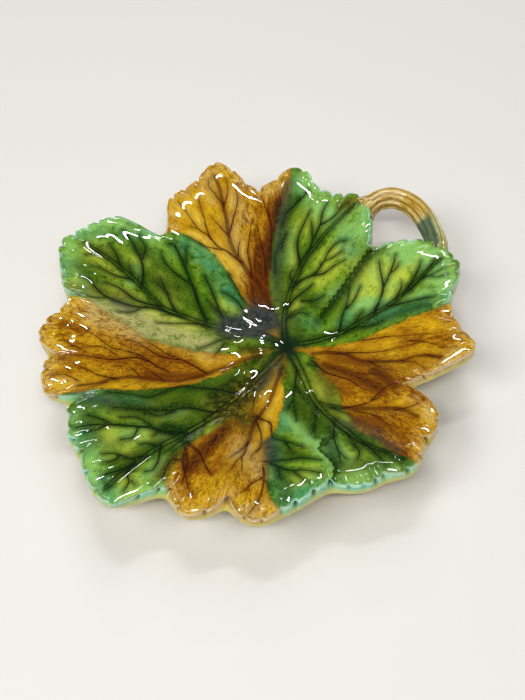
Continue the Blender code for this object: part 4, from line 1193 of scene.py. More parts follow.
@dataclass(frozen=True)
class LeafGlaze(Glaze):
    """Green and amber glazes that meet along the pleats, and pool dark round the ribs."""

    green: str = "3e7209"
    light_green: str = "629516"
    yellow_green: str = "8fac1e"
    bright_yellow: str = "c6d444"
    pale_green: str = "96ce6c"
    straw_olive: str = "cdc880"
    dark_green: str = "123002"
    line_green: str = "0b1e04"
    crest_green: str = "5c8a16"
    teal: str = "24895a"
    mint: str = "a4e0b2"
    turquoise: str = "62c2a4"
    amber: str = "be880c"
    gold: str = "e8b61a"
    bright_gold: str = "f6cc48"
    orange: str = "965604"
    brown: str = "5e3203"
    russet: str = "421a02"
    rust: str = "7a3a02"
    line_brown: str = "3c1400"
    straw: str = "d8b866"
    olive: str = "6e6816"
    dark_olive: str = "332d06"
    # grey smoke tones, which in the middle of the bowl also paint a reflection
    smoke_and_sheen: str = "454740"
    dark_smoke_and_sheen: str = "2a3133"
    ash: str = "929a9a"
    core: str = "0a2414"
    edge_yellow: str = "d2c860"
    # pale crest colours: glaze thinning over the lip's edge, and partly a painted highlight along it
    crest_mint_highlight: str = "caf0da"
    crest_straw_highlight: str = "f0e0b0"
    under: str = "cdbf7c"

    def greens(self, bench: Bench, leaf: LeafSignals) -> Signal:
        """The green glaze: yellow-green cells, pale and teal washes, mint at the rim, dark pools, and a
        painted shadow under a lap's edge.

        Args:
            bench: The material's bench.
            leaf: The leaf's fields.

        Returns:
            The colour.
        """
        pale_share = (leaf.pale * 1.1 + leaf.rim_mm.band(22.0, 3.0) * 0.25) * leaf.clouds.band(0.22, 0.60)
        open_green = 1.0 - leaf.pale.most(leaf.yellow).most(leaf.straw).band(0.2, 1.0) * 0.75
        # painted shadow: dark green on the lower blade just under a lap's serrated edge
        painted_lap_shadow = leaf.lap_mm.band(-6.0, -0.3) * (1.0 - leaf.lap_mm.band(-0.3, 0.2))
        return bench.coats(
            bench.mix(leaf.clouds.band(0.36, 0.64), self.green, self.light_green),
            (leaf.cell * leaf.patches.band(0.35, 0.62) * 0.55, self.yellow_green),
            (leaf.fibre.band(0.50, 0.64) * 0.35, self.yellow_green),
            (leaf.yellow * leaf.patches.band(0.15, 0.55), self.bright_yellow),
            (pale_share, self.pale_green),
            (leaf.straw * leaf.patches.band(0.20, 0.60), self.straw_olive),
            (leaf.straw * leaf.fibre.band(0.50, 0.62) * 0.45, self.olive),
            (leaf.teal * leaf.clouds.band(0.20, 0.60) * 0.85, self.teal),
            (leaf.teal * leaf.patches.band(0.50, 0.66) * 0.4, self.turquoise),
            (leaf.deep * (leaf.patches * 0.8 + 0.35), self.dark_green),
            (leaf.rib_pool * 0.66, self.dark_green),
            (leaf.twig_pool * leaf.patches.band(0.10, 0.60) * 0.72, self.dark_green),
            (leaf.fibre.band(0.46, 0.36) * open_green * 0.35, self.dark_green),
            (leaf.patches.band(0.47, 0.33) * open_green * 0.45, self.dark_green),
            (leaf.specks.band(0.52, 0.68) * 0.30, self.dark_green),
            (leaf.specks.band(0.46, 0.32) * 0.25, self.yellow_green),
            (painted_lap_shadow * 0.9, self.dark_green),
            (leaf.rim_mm.band(1.7, 0.3) * (leaf.clouds + leaf.teal * 0.2).band(0.44, 0.66) * 0.9, self.mint),
        )

    def ambers(self, bench: Bench, leaf: LeafSignals) -> Signal:
        """The amber glaze: golden, with brown that ran along the leaf's fibres.

        Args:
            bench: The material's bench.
            leaf: The leaf's fields.

        Returns:
            The colour.
        """
        pale_rim = leaf.rim_mm.band(9.0, 1.0) * leaf.patches.band(0.38, 0.60) * 0.6
        bare = 1.0 - leaf.gold.band(0.0, 1.1) * 0.55
        fissure = (leaf.thread - 0.5).size().band(0.035, 0.005)
        return bench.coats(
            bench.mix(leaf.clouds.band(0.36, 0.62), self.amber, self.gold),
            (leaf.gold * 0.9, self.gold),
            (leaf.gold.band(0.8, 1.4) * leaf.patches.band(0.25, 0.55), self.bright_gold),
            (leaf.straw * leaf.patches.band(0.20, 0.55) * 0.9 + pale_rim, self.straw),
            ((leaf.brown * 0.75 + 0.22) * leaf.fibre.band(0.42, 0.56) * bare, self.orange),
            ((leaf.brown * 0.60 + 0.40) * leaf.fibre.band(0.53, 0.61) * bare, self.brown),
            (leaf.brown.band(0.15, 1.1) * 0.6, self.orange),
            (fissure * (leaf.brown * 0.3 + 0.60) * bare, self.brown),
            (leaf.specks.band(0.57, 0.69) * (leaf.brown * 0.3 + 0.45), self.brown),
            (leaf.brown.band(0.85, 1.4) * leaf.fibre.band(0.66, 0.44), self.russet),
            (leaf.rib_pool * 0.45, self.rust),
            (leaf.twig_pool * leaf.patches.band(0.20, 0.62) * 0.50, self.rust),
        )

    def veins(
        self, bench: Bench, leaf: LeafSignals, colour: Signal, line: Signal, in_amber: Signal
    ) -> Signal:
        """Draws the dark lines beside the ribs and along the branches, and the ribs' lighter crowns.

        Args:
            bench: The material's bench.
            leaf: The leaf's fields.
            colour: The glaze below.
            line: The colour of the lines.
            in_amber: 1 in amber glaze.

        Returns:
            The colour with its veins.
        """
        twig = (leaf.twig_gap.size() - leaf.twig_wide).band(0.35, -0.25)
        twig = twig * (leaf.twig_far - leaf.twig_wide).band(1.5, 0.7)
        side = (leaf.rib_gap.size() - leaf.rib_wide).size().band(1.1, 0.0)
        middle = leaf.rib_gap.size().band(leaf.rib_wide + 0.4, 0.0)
        rib = side.most(middle * (1.0 - leaf.crest)) * (leaf.rib_far - leaf.rib_wide).band(1.8, 1.0)
        crown = leaf.rib_far.band(leaf.rib_wide * 0.8, 0.0) * leaf.crest * (1.0 - in_amber)
        crown = crown * leaf.clouds.band(0.40, 0.62) * leaf.patches.band(0.30, 0.60)
        return bench.coats(
            colour,
            (twig * (leaf.patches * 0.5 + 0.6), line),
            (rib * (leaf.clouds * 0.7 + 0.35), line),
            (crown * 0.7, self.crest_green),
        )

    def lip(self, bench: Bench, leaf: LeafSignals, colour: Signal, in_amber: Signal) -> Signal:
        """The lip: mint or straw above, with a pale crest that is thin glaze and partly a painted highlight,
        mottled below and yellow along its foot.

        Args:
            bench: The material's bench.
            leaf: The leaf's fields.
            colour: The glaze of the upper face.
            in_amber: 1 in amber glaze.

        Returns:
            The colour with the lip's own.
        """
        light = bench.mix(leaf.clouds.band(0.42, 0.58), self.mint, self.turquoise)
        light = bench.mix(in_amber, light, self.straw)
        wall = bench.coats(
            light,
            (leaf.patches.band(0.44, 0.60) * 0.75, bench.mix(in_amber, self.pale_green, self.amber)),
            # pale band along the lip's crest: thin glaze over the edge, and partly a painted highlight
            (leaf.depth.band(0.34, 0.10) * leaf.patches.band(0.30, 0.50) * 0.85,
             bench.mix(in_amber, self.crest_mint_highlight, self.crest_straw_highlight)),
            (leaf.depth.band(0.35, 0.80) * 0.9, self.edge_yellow),
        )
        return bench.mix(leaf.depth.band(0.02, 0.12) * (leaf.clouds * 0.5 + 0.65), colour, wall)

    def colour(self, bench: Bench) -> tuple[Signal, Signal | None]:
        """The leaf's colours."""
        leaf = LeafSignals(bench, self.effects)
        blur = leaf.olive * 5.0 + leaf.smoke_and_sheen * 3.0 + 0.6
        edge = leaf.amber_mm + (leaf.clouds - 0.5) * 5.0 + (leaf.patches - 0.5) * 2.5
        in_amber = edge.band(blur * -1.0, blur)
        colour = bench.mix(in_amber, self.greens(bench, leaf), self.ambers(bench, leaf))
        seam = edge.size().band(blur * 1.5 + 1.0, 0.0) * 0.3
        stain = bench.mix(leaf.patches.band(0.45, 0.62), self.dark_olive, self.olive)
        colour = bench.mix((seam + leaf.olive * 0.85) * leaf.patches.band(0.12, 0.55), colour, stain)
        line = bench.mix(in_amber, self.line_green, self.line_brown)
        colour = self.veins(bench, leaf, colour, line, in_amber)
        # grey smoke, which in the middle of the bowl is also a painted reflection, a grey sheen
        smoke_sheen_tone = bench.mix(leaf.patches.band(0.38, 0.60), self.dark_smoke_and_sheen, self.smoke_and_sheen)
        smoke_sheen_tone = bench.mix(leaf.specks.band(0.56, 0.72) * 0.30, smoke_sheen_tone, self.ash)
        colour = bench.mix(leaf.smoke_and_sheen * leaf.patches.band(0.0, 0.45), colour, smoke_sheen_tone)
        colour = bench.mix(leaf.core * (leaf.patches * 0.5 + 0.85), colour, self.core)
        colour = self.lip(bench, leaf, colour, in_amber)
        # painted shade, over glaze pooled there: the pits under the notches and the crease take the colour of
        # the lines
        colour = bench.mix(leaf.dark * (leaf.patches * 0.4 + 0.75), colour, line)
        under = bench.mix(leaf.clouds.band(0.5, 0.7) * 0.5, self.under, self.olive)
        colour = bench.mix(leaf.depth.band(1.05, 1.25), colour, under)
        return colour, 1.0 - leaf.lap_mm.size().band(2.2, 1.2) * 0.95


@dataclass(frozen=True)
class StemGlaze(Glaze):
    """Amber glaze that turns olive, with brown in the flutes, a dark run on the loop's inner side, and pale
    ridges that are thin glaze and partly a painted highlight.
    """

    slot: str = "stem_glaze"
    amber: str = "bc922e"
    gold: str = "dcba5c"
    olive: str = "a4ac62"
    pale_olive: str = "ccd29a"
    teal: str = "3c5c4c"
    brown: str = "6f4212"
    # pale on the flute ridges: thin glaze there, and partly a painted highlight along them
    ridge_pale_and_highlight: str = "f4e2a0"

    def colour(self, bench: Bench) -> tuple[Signal, Signal | None]:
        """The stem's colours."""
        along, groove, inner = bench.field("stalk")
        mottle = bench.group(self.effects.mottle, Shift=0.02)
        clouds, patches, specks = mottle["Clouds"], mottle["Patches"], mottle["Specks"]
        streaks = bench.noise(bench.field_vector("grain"), 0.7, 3.0, 0.6, 0.3)
        warm = bench.mix(streaks.band(0.36, 0.60), self.amber, self.gold)
        cool = bench.mix(streaks.band(0.36, 0.60), self.olive, self.pale_olive)
        turned = (along + (clouds - 0.5) * 0.15).band(0.46, 0.56)
        far_run = (along + (patches - 0.5) * 0.05).band(0.51, 0.55)
        inner_run = (inner + (clouds - 0.5) * 0.4).band(-0.25, 0.15)
        colour = bench.coats(
            bench.mix(turned * 0.85, warm, cool),
            (along.band(0.20, 0.03) * patches.band(0.40, 0.62) * 0.65, self.brown),
            (groove.band(0.45, 1.0) * (along.band(0.35, 0.10) * 0.3 + 0.55), self.brown),
            (streaks.band(0.44, 0.30) * 0.5, self.brown),
            # pale ridges: thin glaze, and partly a painted highlight streak along each ridge
            (groove.band(0.40, 0.05) * streaks.band(0.44, 0.58) * 0.5, self.ridge_pale_and_highlight),
            (far_run * inner_run * 0.85, self.teal),
            (specks.band(0.60, 0.74) * 0.35, self.brown),
        )
        return colour, None


@dataclass(frozen=True)
class FootGlaze(Glaze):
    """Thin pale yellow glaze over buff clay, wiped off the resting edge and without a clear coat."""

    slot: str = "foot_clay"
    glaze: str = "d2c27e"
    thick_glaze: str = "c3ad5e"
    clay: str = "c8a67a"
    grime: str = "7a6242"
    coat: float = 0.0

    def colour(self, bench: Bench) -> tuple[Signal, Signal | None]:
        """The foot's colours."""
        height_mm, _, _ = bench.field("foot")
        mottle = bench.group(self.effects.mottle, Shift=-0.02)
        wiped = (height_mm + (mottle["Patches"] - 0.5) * 1.6).band(1.2, 0.7)
        worn = (height_mm + (mottle["Patches"] - 0.5) * 0.8).band(0.35, 0.05)
        colour = bench.coats(
            bench.mix(mottle["Clouds"].band(0.35, 0.65), self.glaze, self.thick_glaze),
            (wiped, self.clay),
            (worn * mottle["Specks"].band(0.35, 0.65) * 0.7, self.grime),
        )
        return colour, None


# Where each part of the leaf's profile ends: upper face, crest of the lip, face of the lip, its seat and its
# foot, and where the underside begins.
RIM, CREST, LIP, SEAT, FOOT, UNDER = 1.0, 1.24, 2.0, 2.45, 2.7, 3.0


@dataclass
class LeafBlade:
    """The pressed leaf: upper face with its ribs, toothed lip and plain underside.

    A run is where something sets in and where it is full, in mm from the middle; a rim span is the same from
    the rim.
    """

    plan: LeafPlan
    leaf_map: LeafMap
    centre: Vector
    box: tuple[Vector, Vector]
    lip_round: float = 0.0014
    lip_width: float = 0.006
    edge_round: float = 0.0012
    roll_mm: float = 1.5
    roll_reach_mm: float = 9.0
    crease_mm: float = 1.3
    rib_share: float = 0.50
    groove_mm: float = 0.20
    branch_mm: float = 0.24
    branch_rise_mm: float = 0.24
    puff_mm: float = 0.40
    puff_reach_mm: float = 5.0
    uneven_mm: float = 0.035
    least_mm: float = 0.9
    hollow_slope: float = 0.088
    hollow_reach_mm: float = 23.0
    level_slope: float = 0.050
    level_reach_mm: float = 12.0
    calm_share: float = 0.8
    calm_run: Span = (16.0, 32.0)
    ribs_run: Span = (14.0, 42.0)
    ribs_rim: Span = (3.0, 16.0)
    puff_run: Span = (16.0, 38.0)
    puff_rim: Span = (3.0, 11.0)
    uneven_run: Span = (6.0, 30.0)
    relief_rim: Span = (0.0, 2.0)
    pit_mm: float = 1.1
    notch_drop: float = 0.45
    bead_pitch_mm: float = 4.4
    fibres_round: float = 42.0
    fibres_per_mm: float = 0.20
    read: LeafReading = field(init=False)
    spots: tuple[Grid, Grid, Grid] = field(init=False)

    def bands(self) -> tuple[tuple[int, Grid], ...]:
        """Steps round and places along the profile for each band of the skin, from the middle outwards."""
        outer = np.linspace(0.499, RIM, 58)
        crest, face = np.linspace(1.06, CREST, 4), np.linspace(1.32, LIP, 8)
        return (
            (16, np.array([0.010, 0.018])),
            (64, np.linspace(0.028, 0.060, 4)),
            (128, np.linspace(0.070, 0.125, 7)),
            (256, np.linspace(0.134, 0.245, 14)),
            (512, np.linspace(0.254, 0.490, 28)),
            (1024, np.concatenate([outer, crest, face])),
            (512, np.array([2.2, SEAT, FOOT])),
            (256, np.linspace(UNDER, 3.45, 14)),
            (128, np.linspace(3.49, 3.85, 12)),
            (32, np.array([3.90, 3.97])),
        )

    def face(self, x: Grid, y: Grid) -> Grid:
        """Height of the upper face without its relief; towards the middle the troughs run out."""
        calm = self.calm_share * (1 - ramp(np.hypot(x, y) / MM, *self.calm_run))
        return self.plan.upper(x, y) - self.plan.laps(x, y) - self.plan.troughs(x, y) * calm

    def ribbing(self, x: Grid, y: Grid) -> Grid:
        """Height of ribs, branches, laps, the puffed blade, the hollow, creases and rolled rim, in metres."""
        ribs, twigs, rim_mm = self.read.ribs, self.read.branches, self.read.rim_mm
        wide, reach_mm = np.maximum(ribs.half_width, self.least_mm), np.hypot(x, y) / MM
        twig_wide = np.maximum(twigs.half_width, 0.45 * self.least_mm)
        # a rib's crown ends at 1.3 half widths and its groove lies at 1.45; a flat rib has one in its middle
        crown = np.clip(1 - (ribs.distance / (1.3 * wide)) ** 2, 0.0, None) ** 1.4
        rise = self.rib_share * ribs.crest * wide * crown
        groove = self.groove_mm * bell(ribs.distance - 1.45 * wide, 0.7 * wide + 0.4)
        groove += self.groove_mm * (1 - np.minimum(ribs.crest * 2, 1.0)) * bell(ribs.distance, wide + 0.4)
        # only the thicker branches stand out; all of them lie in a groove that fades in the finest
        thick = ramp(twigs.half_width, 0.55, 0.95)
        rise += self.branch_rise_mm * thick * bell(twigs.distance, 0.8 * twig_wide + 0.3)
        groove += self.branch_mm * ramp(twigs.half_width, 0.1, 0.6) * bell(twigs.distance, twig_wide + 0.45)
        nearest = np.maximum(np.minimum(ribs.distance - wide, twigs.distance), 0.0)
        puff = self.puff_mm * (0.5 - bell(nearest, self.puff_reach_mm)) * ramp(reach_mm, *self.puff_run)
        relief = (rise - groove) * ramp(reach_mm, *self.ribs_run) * ramp(rim_mm, *self.ribs_rim)
        relief -= self.hollow_slope * np.clip(self.hollow_reach_mm - np.hypot(reach_mm, 1.2), 0.0, None)
        relief += self.level_slope * np.clip(self.level_reach_mm - np.hypot(reach_mm, 2.0), 0.0, None)
        relief += puff * ramp(rim_mm, *self.puff_rim) - self.crease_mm * self.creases(x, y)
        relief += self.uneven(x / MM, y / MM) * ramp(reach_mm, *self.uneven_run) + self.read.swell_mm
        relief = relief * ramp(rim_mm, *self.relief_rim) - self.rolled(x / MM, y / MM)
        return relief * MM + self.plan.laps(x, y)

    def uneven(self, x_mm: Grid, y_mm: Grid) -> Grid:
        """Slow unevenness of pressed clay, in millimetres."""
        waves = ((0.32, 0.11, 0.8), (-0.23, 0.41, 0.9), (0.33, -0.35, 0.5), (0.12, 0.30, 0.7))
        total = sum(size * np.sin(x_mm * a + y_mm * b + k) for k, (a, b, size) in enumerate(waves))
        return self.uneven_mm * total

    def rolled(self, x_mm: Grid, y_mm: Grid) -> Grid:
        """How far the rim rolls over below the blade's own slope, in millimetres."""
        reach = self.roll_reach_mm * (1 + 0.15 * np.sin(x_mm * 0.11 + 1.0) * np.sin(y_mm * 0.13))
        return self.roll_mm * np.clip(1 - self.read.rim_mm / reach, 0.0, 1.0) ** 2

    def creases(self, x: Grid, y: Grid) -> Grid:
        """How deep the sharp creases beside the pleats are, from 0 to 1."""
        share = np.hypot(x, y) / self.plan.reach
        deep = np.zeros_like(share)
        for row, offset_mm, half_mm in CREASES:
            inner, outer = ends(row)
            run_in = ramp(share, inner, inner + 0.10) * (1 - ramp(share, outer - 0.06, outer))
            gap = self.plan.gap_to(x, y, row) / MM - offset_mm
            beads = 0.75 + 0.25 * np.sin(share * self.plan.reach / MM * 2 * math.pi / self.bead_pitch_mm)
            deep = np.maximum(deep, run_in * bell(gap, half_mm) * beads)
        return deep

    def place(self, turn: Grid, along: Grid) -> Placed:
        """Where each spun vertex lies, in the dish's frame.

        Args:
            turn: Bearings in degrees.
            along: Places along the profile.

        Returns:
            x, y and z.
        """
        plan = self.plan
        tooth, plain = plan.at(plan.toothed, turn), plan.at(plan.plain, turn)
        lower, notch = plan.at(plan.lower, turn), plan.at(plan.notch, turn)
        # a hair past each end, so that an end belongs to its own part
        zone = np.digitize(along, np.array([RIM, CREST, LIP, FOOT]) + 0.0001)
        share = np.clip(along, 0.0, RIM)
        crest = np.clip((along - RIM) / (CREST - RIM), 0.0, 1.0) * math.pi / 2
        down = np.clip((along - CREST) / (LIP - CREST), 0.0, 1.0)
        tuck = np.clip((along - LIP) / (SEAT - LIP), 0.0, 1.0)
        step_in = ramp(along, SEAT, FOOT)
        pit = self.pit_mm * MM * bell(down - 0.22, 0.20) * ramp(notch, 0.0008, 0.0020)
        inner = lower - self.lip_width
        reach = np.choose(zone, (
            share * (plain + (tooth - plain) * ramp(along, 0.7, RIM) - self.lip_round),
            tooth - self.lip_round * (1 - np.sin(crest)),
            tooth + (lower - tooth) * ramp(down, 0.05, 0.95) - pit,
            lower - self.edge_round * tuck - (self.lip_width - self.edge_round) * step_in,
            inner * (1 - np.clip(along - UNDER, 0.0, 1.0)),
        ))
        x, y = polar(reach, turn)
        top = plan.upper(*polar(tooth - self.lip_round, turn)) - notch * self.notch_drop
        bottom = plan.underside(*polar(lower, turn)) + plan.thickness - plan.lip_height
        seat = bottom + self.edge_round * (1 - np.clip((along - LIP) / 0.2, 0.0, 1.0)) ** 2
        z = np.choose(zone, (
            self.face(x, y) - notch * self.notch_drop * ramp(share, 0.93, RIM),
            top - self.lip_round * (1 - np.cos(crest)),
            top - self.lip_round + (bottom + self.edge_round - top + self.lip_round) * down,
            seat + (plan.underside(*polar(inner, turn)) - seat) * step_in,
            plan.underside(x, y),
        ))
        upper = np.nonzero(zone == 0)[0]
        self.read = self.leaf_map.read(x[upper], y[upper])
        self.spots = (x, y, upper)
        low, high = self.box
        return tuple(np.clip(row + self.centre[k], low[k], high[k]) for k, row in enumerate((x, y, z)))

    def relief(self) -> Grid:
        """Height of the relief at every vertex that was placed, in metres."""
        x, y, upper = self.spots
        full = np.zeros(len(x))
        full[upper] = self.ribbing(x[upper], y[upper])
        return full

    def store(self, thing: bpy.types.Object, turn: Grid, along: Grid) -> None:
        """Stores the fields that the glaze reads.

        Args:
            thing: The leaf.
            turn: Its vertices' bearings.
            along: Their places along the profile.
        """
        x, y, upper = self.spots
        reach_mm = np.hypot(x, y) / MM

        def spread(values: Grid, elsewhere: float = 0.0) -> Grid:
            """Values of the upper face, with a plain one for all other vertices."""
            full = np.full(len(along), elsewhere)
            full[upper] = values
            return full

        read, down = self.read, np.clip((along - RIM) / (LIP - RIM), 0.0, 1.0)
        for name, veins in (("rib", read.ribs), ("branch", read.branches)):
            gap, far = spread(veins.gap, FAR_MM), spread(veins.distance, FAR_MM)
            write_field(thing, name, gap, far, spread(veins.half_width, HAIR_MM))
        depth = np.interp(along, [RIM, CREST, LIP, 2.2, FOOT, UNDER], [0.0, 0.12, 0.95, 1.05, 1.6, 2.0])
        write_field(thing, "site", self.leaf_map.amber_distance(x, y), spread(read.rim_mm), depth)
        for name, tints in FIELDS_OF_WASHES.items():
            write_field(thing, name, *(spread(read.washes[tint]) for tint in tints))
        write_field(thing, "crown", spread(np.minimum(read.ribs.crest * 2, 1)))
        notch = ramp(self.plan.at(self.plan.notch, turn), 0.0008, 0.0017)
        # the pits under the notches and the crease, for the painted shade and pooled glaze in these hollows
        pit = notch * bell(down - 0.40, 0.20) * (along > RIM - 0.01) * (along < LIP)
        crease = spread(self.creases(x[upper], y[upper])) * 0.9
        lap_mm = spread(read.lap_mm, FAR_MM)
        write_field(thing, "detail", np.maximum(pit, crease), lap_mm, bell(reach_mm, 9.0))
        write_field(thing, "grain", *polar(self.fibres_round, turn), reach_mm * self.fibres_per_mm)

    def build(self, glaze: Glaze) -> bpy.types.Object:
        """Builds the leaf and dresses it."""
        skin = SpunSkin(self.bands(), softened=(0.02, 0.985))
        thing, turn, along = skin.shaped("leaf_blade", self.place, self.relief)
        self.store(thing, turn, along)
        thing.data.materials.append(glaze.material())
        return thing


@dataclass
class StemHandle:
    """The fluted stem, looped from one lobe's rim to under the next, and the soft clay at its ends."""

    plan: LeafPlan
    centre: Vector
    radius: float = 0.0060
    tip_radius: float = 0.0053
    root_radius: float = 0.0042
    flute_depth: float = 0.0008
    flutes: int = 9
    flute_turn: float = 15.0
    crown_drop: float = 0.0032
    gap: float = 0.0003
    press: float = 0.0003
    rings: int = 120
    around: int = 144
    flute_sway: float = 4.0
    flute_twist: float = 12.0
    flute_edge: float = 1.6
    unevenness: float = 0.00012
    thumb_depth: float = 0.00018
    streaks: float = 20.0
    collar_start: float = 0.0045
    collar_length: float = 0.0070
    collar_flare: float = 0.0024
    collar_share: float = 0.1
    pad_size: tuple[float, float, float] = (0.025, 0.0168, 0.0100)
    pad_along: float = 0.95

    def __post_init__(self) -> None:
        """Draws the middle line once."""
        plan = self.plan
        rim_level = plan.floor_clearance + plan.thickness + plan.bowl_depth
        under_lip = rim_level - plan.lip_height - self.root_radius - 2 * self.gap
        points = np.array(STEM_PATH) * plan.reach
        points[:, 2] = under_lip + (rim_level - self.crown_drop - under_lip) * np.array(STEM_PATH)[:, 2]
        points[-1, 2] = plan.underside(points[-1, 0], points[-1, 1]) - self.root_radius + self.press
        self.line = smooth_line(points, 16)
        self.run = np.concatenate([[0.0], np.cumsum(np.linalg.norm(np.diff(self.line, axis=0), axis=1))])

    def frames(self, along: Grid) -> tuple[Grid, Grid, Grid, Grid]:
        """The stem's middle, sideways and upward directions and radius.

        Args:
            along: Shares of the way from the tip to the root.

        Returns:
            Middle points, sides, ups and radii.
        """
        slopes = np.gradient(self.line, self.run, axis=0)
        runs = np.clip(along, 0.0, 1.0) * self.run[-1]
        middle = np.stack([np.interp(runs, self.run, self.line[:, k]) for k in range(3)], axis=-1)
        ahead = np.stack([np.interp(runs, self.run, slopes[:, k]) for k in range(3)], axis=-1)
        ahead /= np.linalg.norm(ahead, axis=1)[:, None]
        side = np.cross(ahead, (0.0, 0.0, 1.0))
        side /= np.linalg.norm(side, axis=1)[:, None]
        up = np.cross(side, ahead)
        radius = self.radius + (self.tip_radius - self.radius) * (1 - ramp(along, 0.0, 0.25))
        radius = radius + (self.root_radius - self.radius) * ramp(along, 0.70, 1.0)
        return middle, side, up, radius

    def round_section(self, turn: Grid, along: Grid, reach: Grid, flat: Grid | float = 1.0) -> Placed:
        """Places at a reach from the stem's middle, with the height flattened by a share."""
        middle, side, up, _ = self.frames(along)
        angle = np.radians(turn)
        across, above = np.cos(angle) * reach, np.sin(angle) * reach * flat
        points = middle + side * across[:, None] + up * above[:, None] + np.array(self.centre)
        return points[:, 0], points[:, 1], points[:, 2]

    def flute(self, turn: Grid, along: Grid) -> Grid:
        """How deep the flutes are, from 0 on a ridge to 1 in a groove; they wander a little."""
        wander = self.flute_sway * np.sin(along * 9.0) + self.flute_twist * along + self.flute_turn
        wave = 0.5 - 0.5 * np.cos(np.radians((turn + wander) * self.flutes))
        return wave**self.flute_edge

    def stem_place(self, turn: Grid, along: Grid) -> Placed:
        """Where each vertex of the stem lies."""
        _, _, _, radius = self.frames(along)
        angle = np.radians(turn)
        uneven = self.unevenness * np.sin(along * 13 + 2 * np.cos(angle))
        return self.round_section(turn, along, radius - self.flute_depth * self.flute(turn, along) + uneven)

    def collar_place(self, turn: Grid, along: Grid) -> Placed:
        """Where each vertex of the clay round the tip lies: a fillet that flares towards the rim."""
        share = np.clip(along, 0.0, 1.0)
        runs = (self.collar_start + share * self.collar_length) / self.run[-1]
        _, _, _, radius = self.frames(runs)
        # three large and seven small lumps round the collar, as fingers leave them
        lump = 1 + 0.18 * np.sin(3 * np.radians(turn) + 1.0) + 0.10 * np.sin(7 * np.radians(turn))
        flare = self.collar_flare * (1 - share) ** 2 * lump + 0.0008 * (1 - share**3)
        sunk = self.flute(turn, runs) * self.flute_depth * share
        wide = radius + flare - sunk - 0.0004 * share
        flat = 1 - 0.14 * (1 - share)
        return self.round_section(turn, runs, wide, flat)

    def build_pad(self) -> bpy.types.Object:
        """The clay that beds the root against the underside: a ball of clay pressed flat."""
        middle, side, _, _ = self.frames(np.array([1.0]))
        x, y = float(middle[0, 0]), float(middle[0, 1])
        seat = float(self.plan.underside(x, y))
        slope = [
            (float(self.plan.underside(x + dx, y + dy)) - seat) / self.gap
            for dx, dy in ((self.gap, 0.0), (0.0, self.gap))
        ]
        up = Vector((-slope[0], -slope[1], 1)).normalized()
        ahead = up.cross(Vector(side[0])).normalized()
        across = ahead.cross(up)
        long, wide, deep = self.pad_size
        shape = Matrix((ahead * long, across * wide, up * deep)).transposed() * 0.5
        place = Vector((x, y, seat)) + self.centre + up * (self.plan.thickness / 2 - deep / 2)
        bm = bmesh.new()
        made = bmesh.ops.create_uvsphere(bm, u_segments=72, v_segments=48, radius=1.0)["verts"]
        bmesh.ops.transform(bm, matrix=Matrix.Translation(place) @ shape.to_4x4(), verts=made)
        for vert in bm.verts:
            thumb = math.sin(vert.co.x / MM * 0.9) * math.sin(vert.co.y / MM * 0.8 + 1.0)
            vert.co += up * (self.thumb_depth * thumb)
        bmesh.ops.recalc_face_normals(bm, faces=bm.faces)
        return as_object("root_pad", bm)

    def build(self, glaze: Glaze) -> dict[str, bpy.types.Object]:
        """Builds the stem, the collar and the pad, and dresses them.

        Args:
            glaze: Their glaze.

        Returns:
            The pieces, by the node that each stands for.
        """
        material = glaze.material()
        stem, turn, along = SpunSkin(((self.around, np.linspace(0.0, 1.0, self.rings)),)).shaped(
            "fluted_stem", self.stem_place
        )
        write_field(stem, "stalk", along, self.flute(turn, along), np.cos(np.radians(turn)))
        write_field(stem, "grain", *polar(self.radius / MM, turn), along * self.streaks)
        collar, turn, along = SpunSkin(((self.around, np.linspace(0.0, 1.0, 14)),)).shaped(
            "tip_collar", self.collar_place
        )
        grooves = self.flute(turn, along * self.collar_share) * along
        write_field(collar, "stalk", along * self.collar_share, grooves, np.cos(np.radians(turn)))
        write_field(collar, "grain", *polar(self.radius / MM, turn), along * self.streaks * self.collar_share)
        pad = self.build_pad()
        spots = np.array([vert.co for vert in pad.data.vertices]) / MM
        write_field(pad, "stalk", np.full(len(spots), self.pad_along))
        write_field(pad, "grain", *spots.T)
        made = {"stem_handle": stem, "tip_luting": collar, "root_luting": pad}
        for piece in made.values():
            piece.data.materials.append(material)
        return made


@dataclass
class FootRing:
    """The foot ring, with a rounded resting edge and a fillet where it meets the underside."""

    plan: LeafPlan
    centre: Vector
    outer: float = 0.043
    wall: float = 0.0055
    taper: float = 0.0015
    edge: float = 0.0011
    edge_ease: float = 0.3
    shift: float = 0.009
    axis_deg: float = 225.0

    def place(self, turn: Grid, along: Grid) -> Placed:
        """Where each vertex lies: up the inner side, along the top and down the outer side to the edge."""
        inner = self.outer - self.wall
        middle_x, middle_y = polar(self.shift, self.axis_deg)
        flat, eased = np.arange(8.0), self.edge_ease * self.edge
        radii = np.array([
            inner + self.edge, inner + eased, inner, inner + self.taper / 2,
            self.outer + self.taper, self.outer, self.outer - eased, self.outer - self.edge,
        ])
        rise = np.array([0.0, eased, self.edge, 1.0, 1.0, self.edge, eased, 0.0])
        radius, height = np.interp(along, flat, radii), np.interp(along, flat, rise)
        x, y = polar(radius, turn)
        x, y = x + middle_x, y + middle_y
        top = self.plan.underside(x, y) + self.plan.thickness / 4
        to_top = np.interp(along, flat, [0, 0, 0, 1, 1, 0, 0, 0])
        z = np.where(to_top > 0, self.edge + (top - self.edge) * to_top, height)
        return x + self.centre.x, y + self.centre.y, z + self.centre.z

    def build(self, glaze: Glaze) -> bpy.types.Object:
        """Builds the foot ring and dresses it."""
        inner_edge, inner_side = np.linspace(0, 2, 7), np.linspace(2.2, 2.8, 5)
        outer_side, outer_edge = np.linspace(4.2, 4.8, 5), np.linspace(5, 7, 7)
        places = np.concatenate([inner_edge, inner_side, [3.0, 4.0], outer_side, outer_edge])
        ring, _, _ = SpunSkin(((256, places),), ring=True).shaped("foot_ring_glazed", self.place)
        heights = np.array([vert.co.z for vert in ring.data.vertices]) / MM
        write_field(ring, "foot", heights)
        ring.data.materials.append(glaze.material())
        return ring


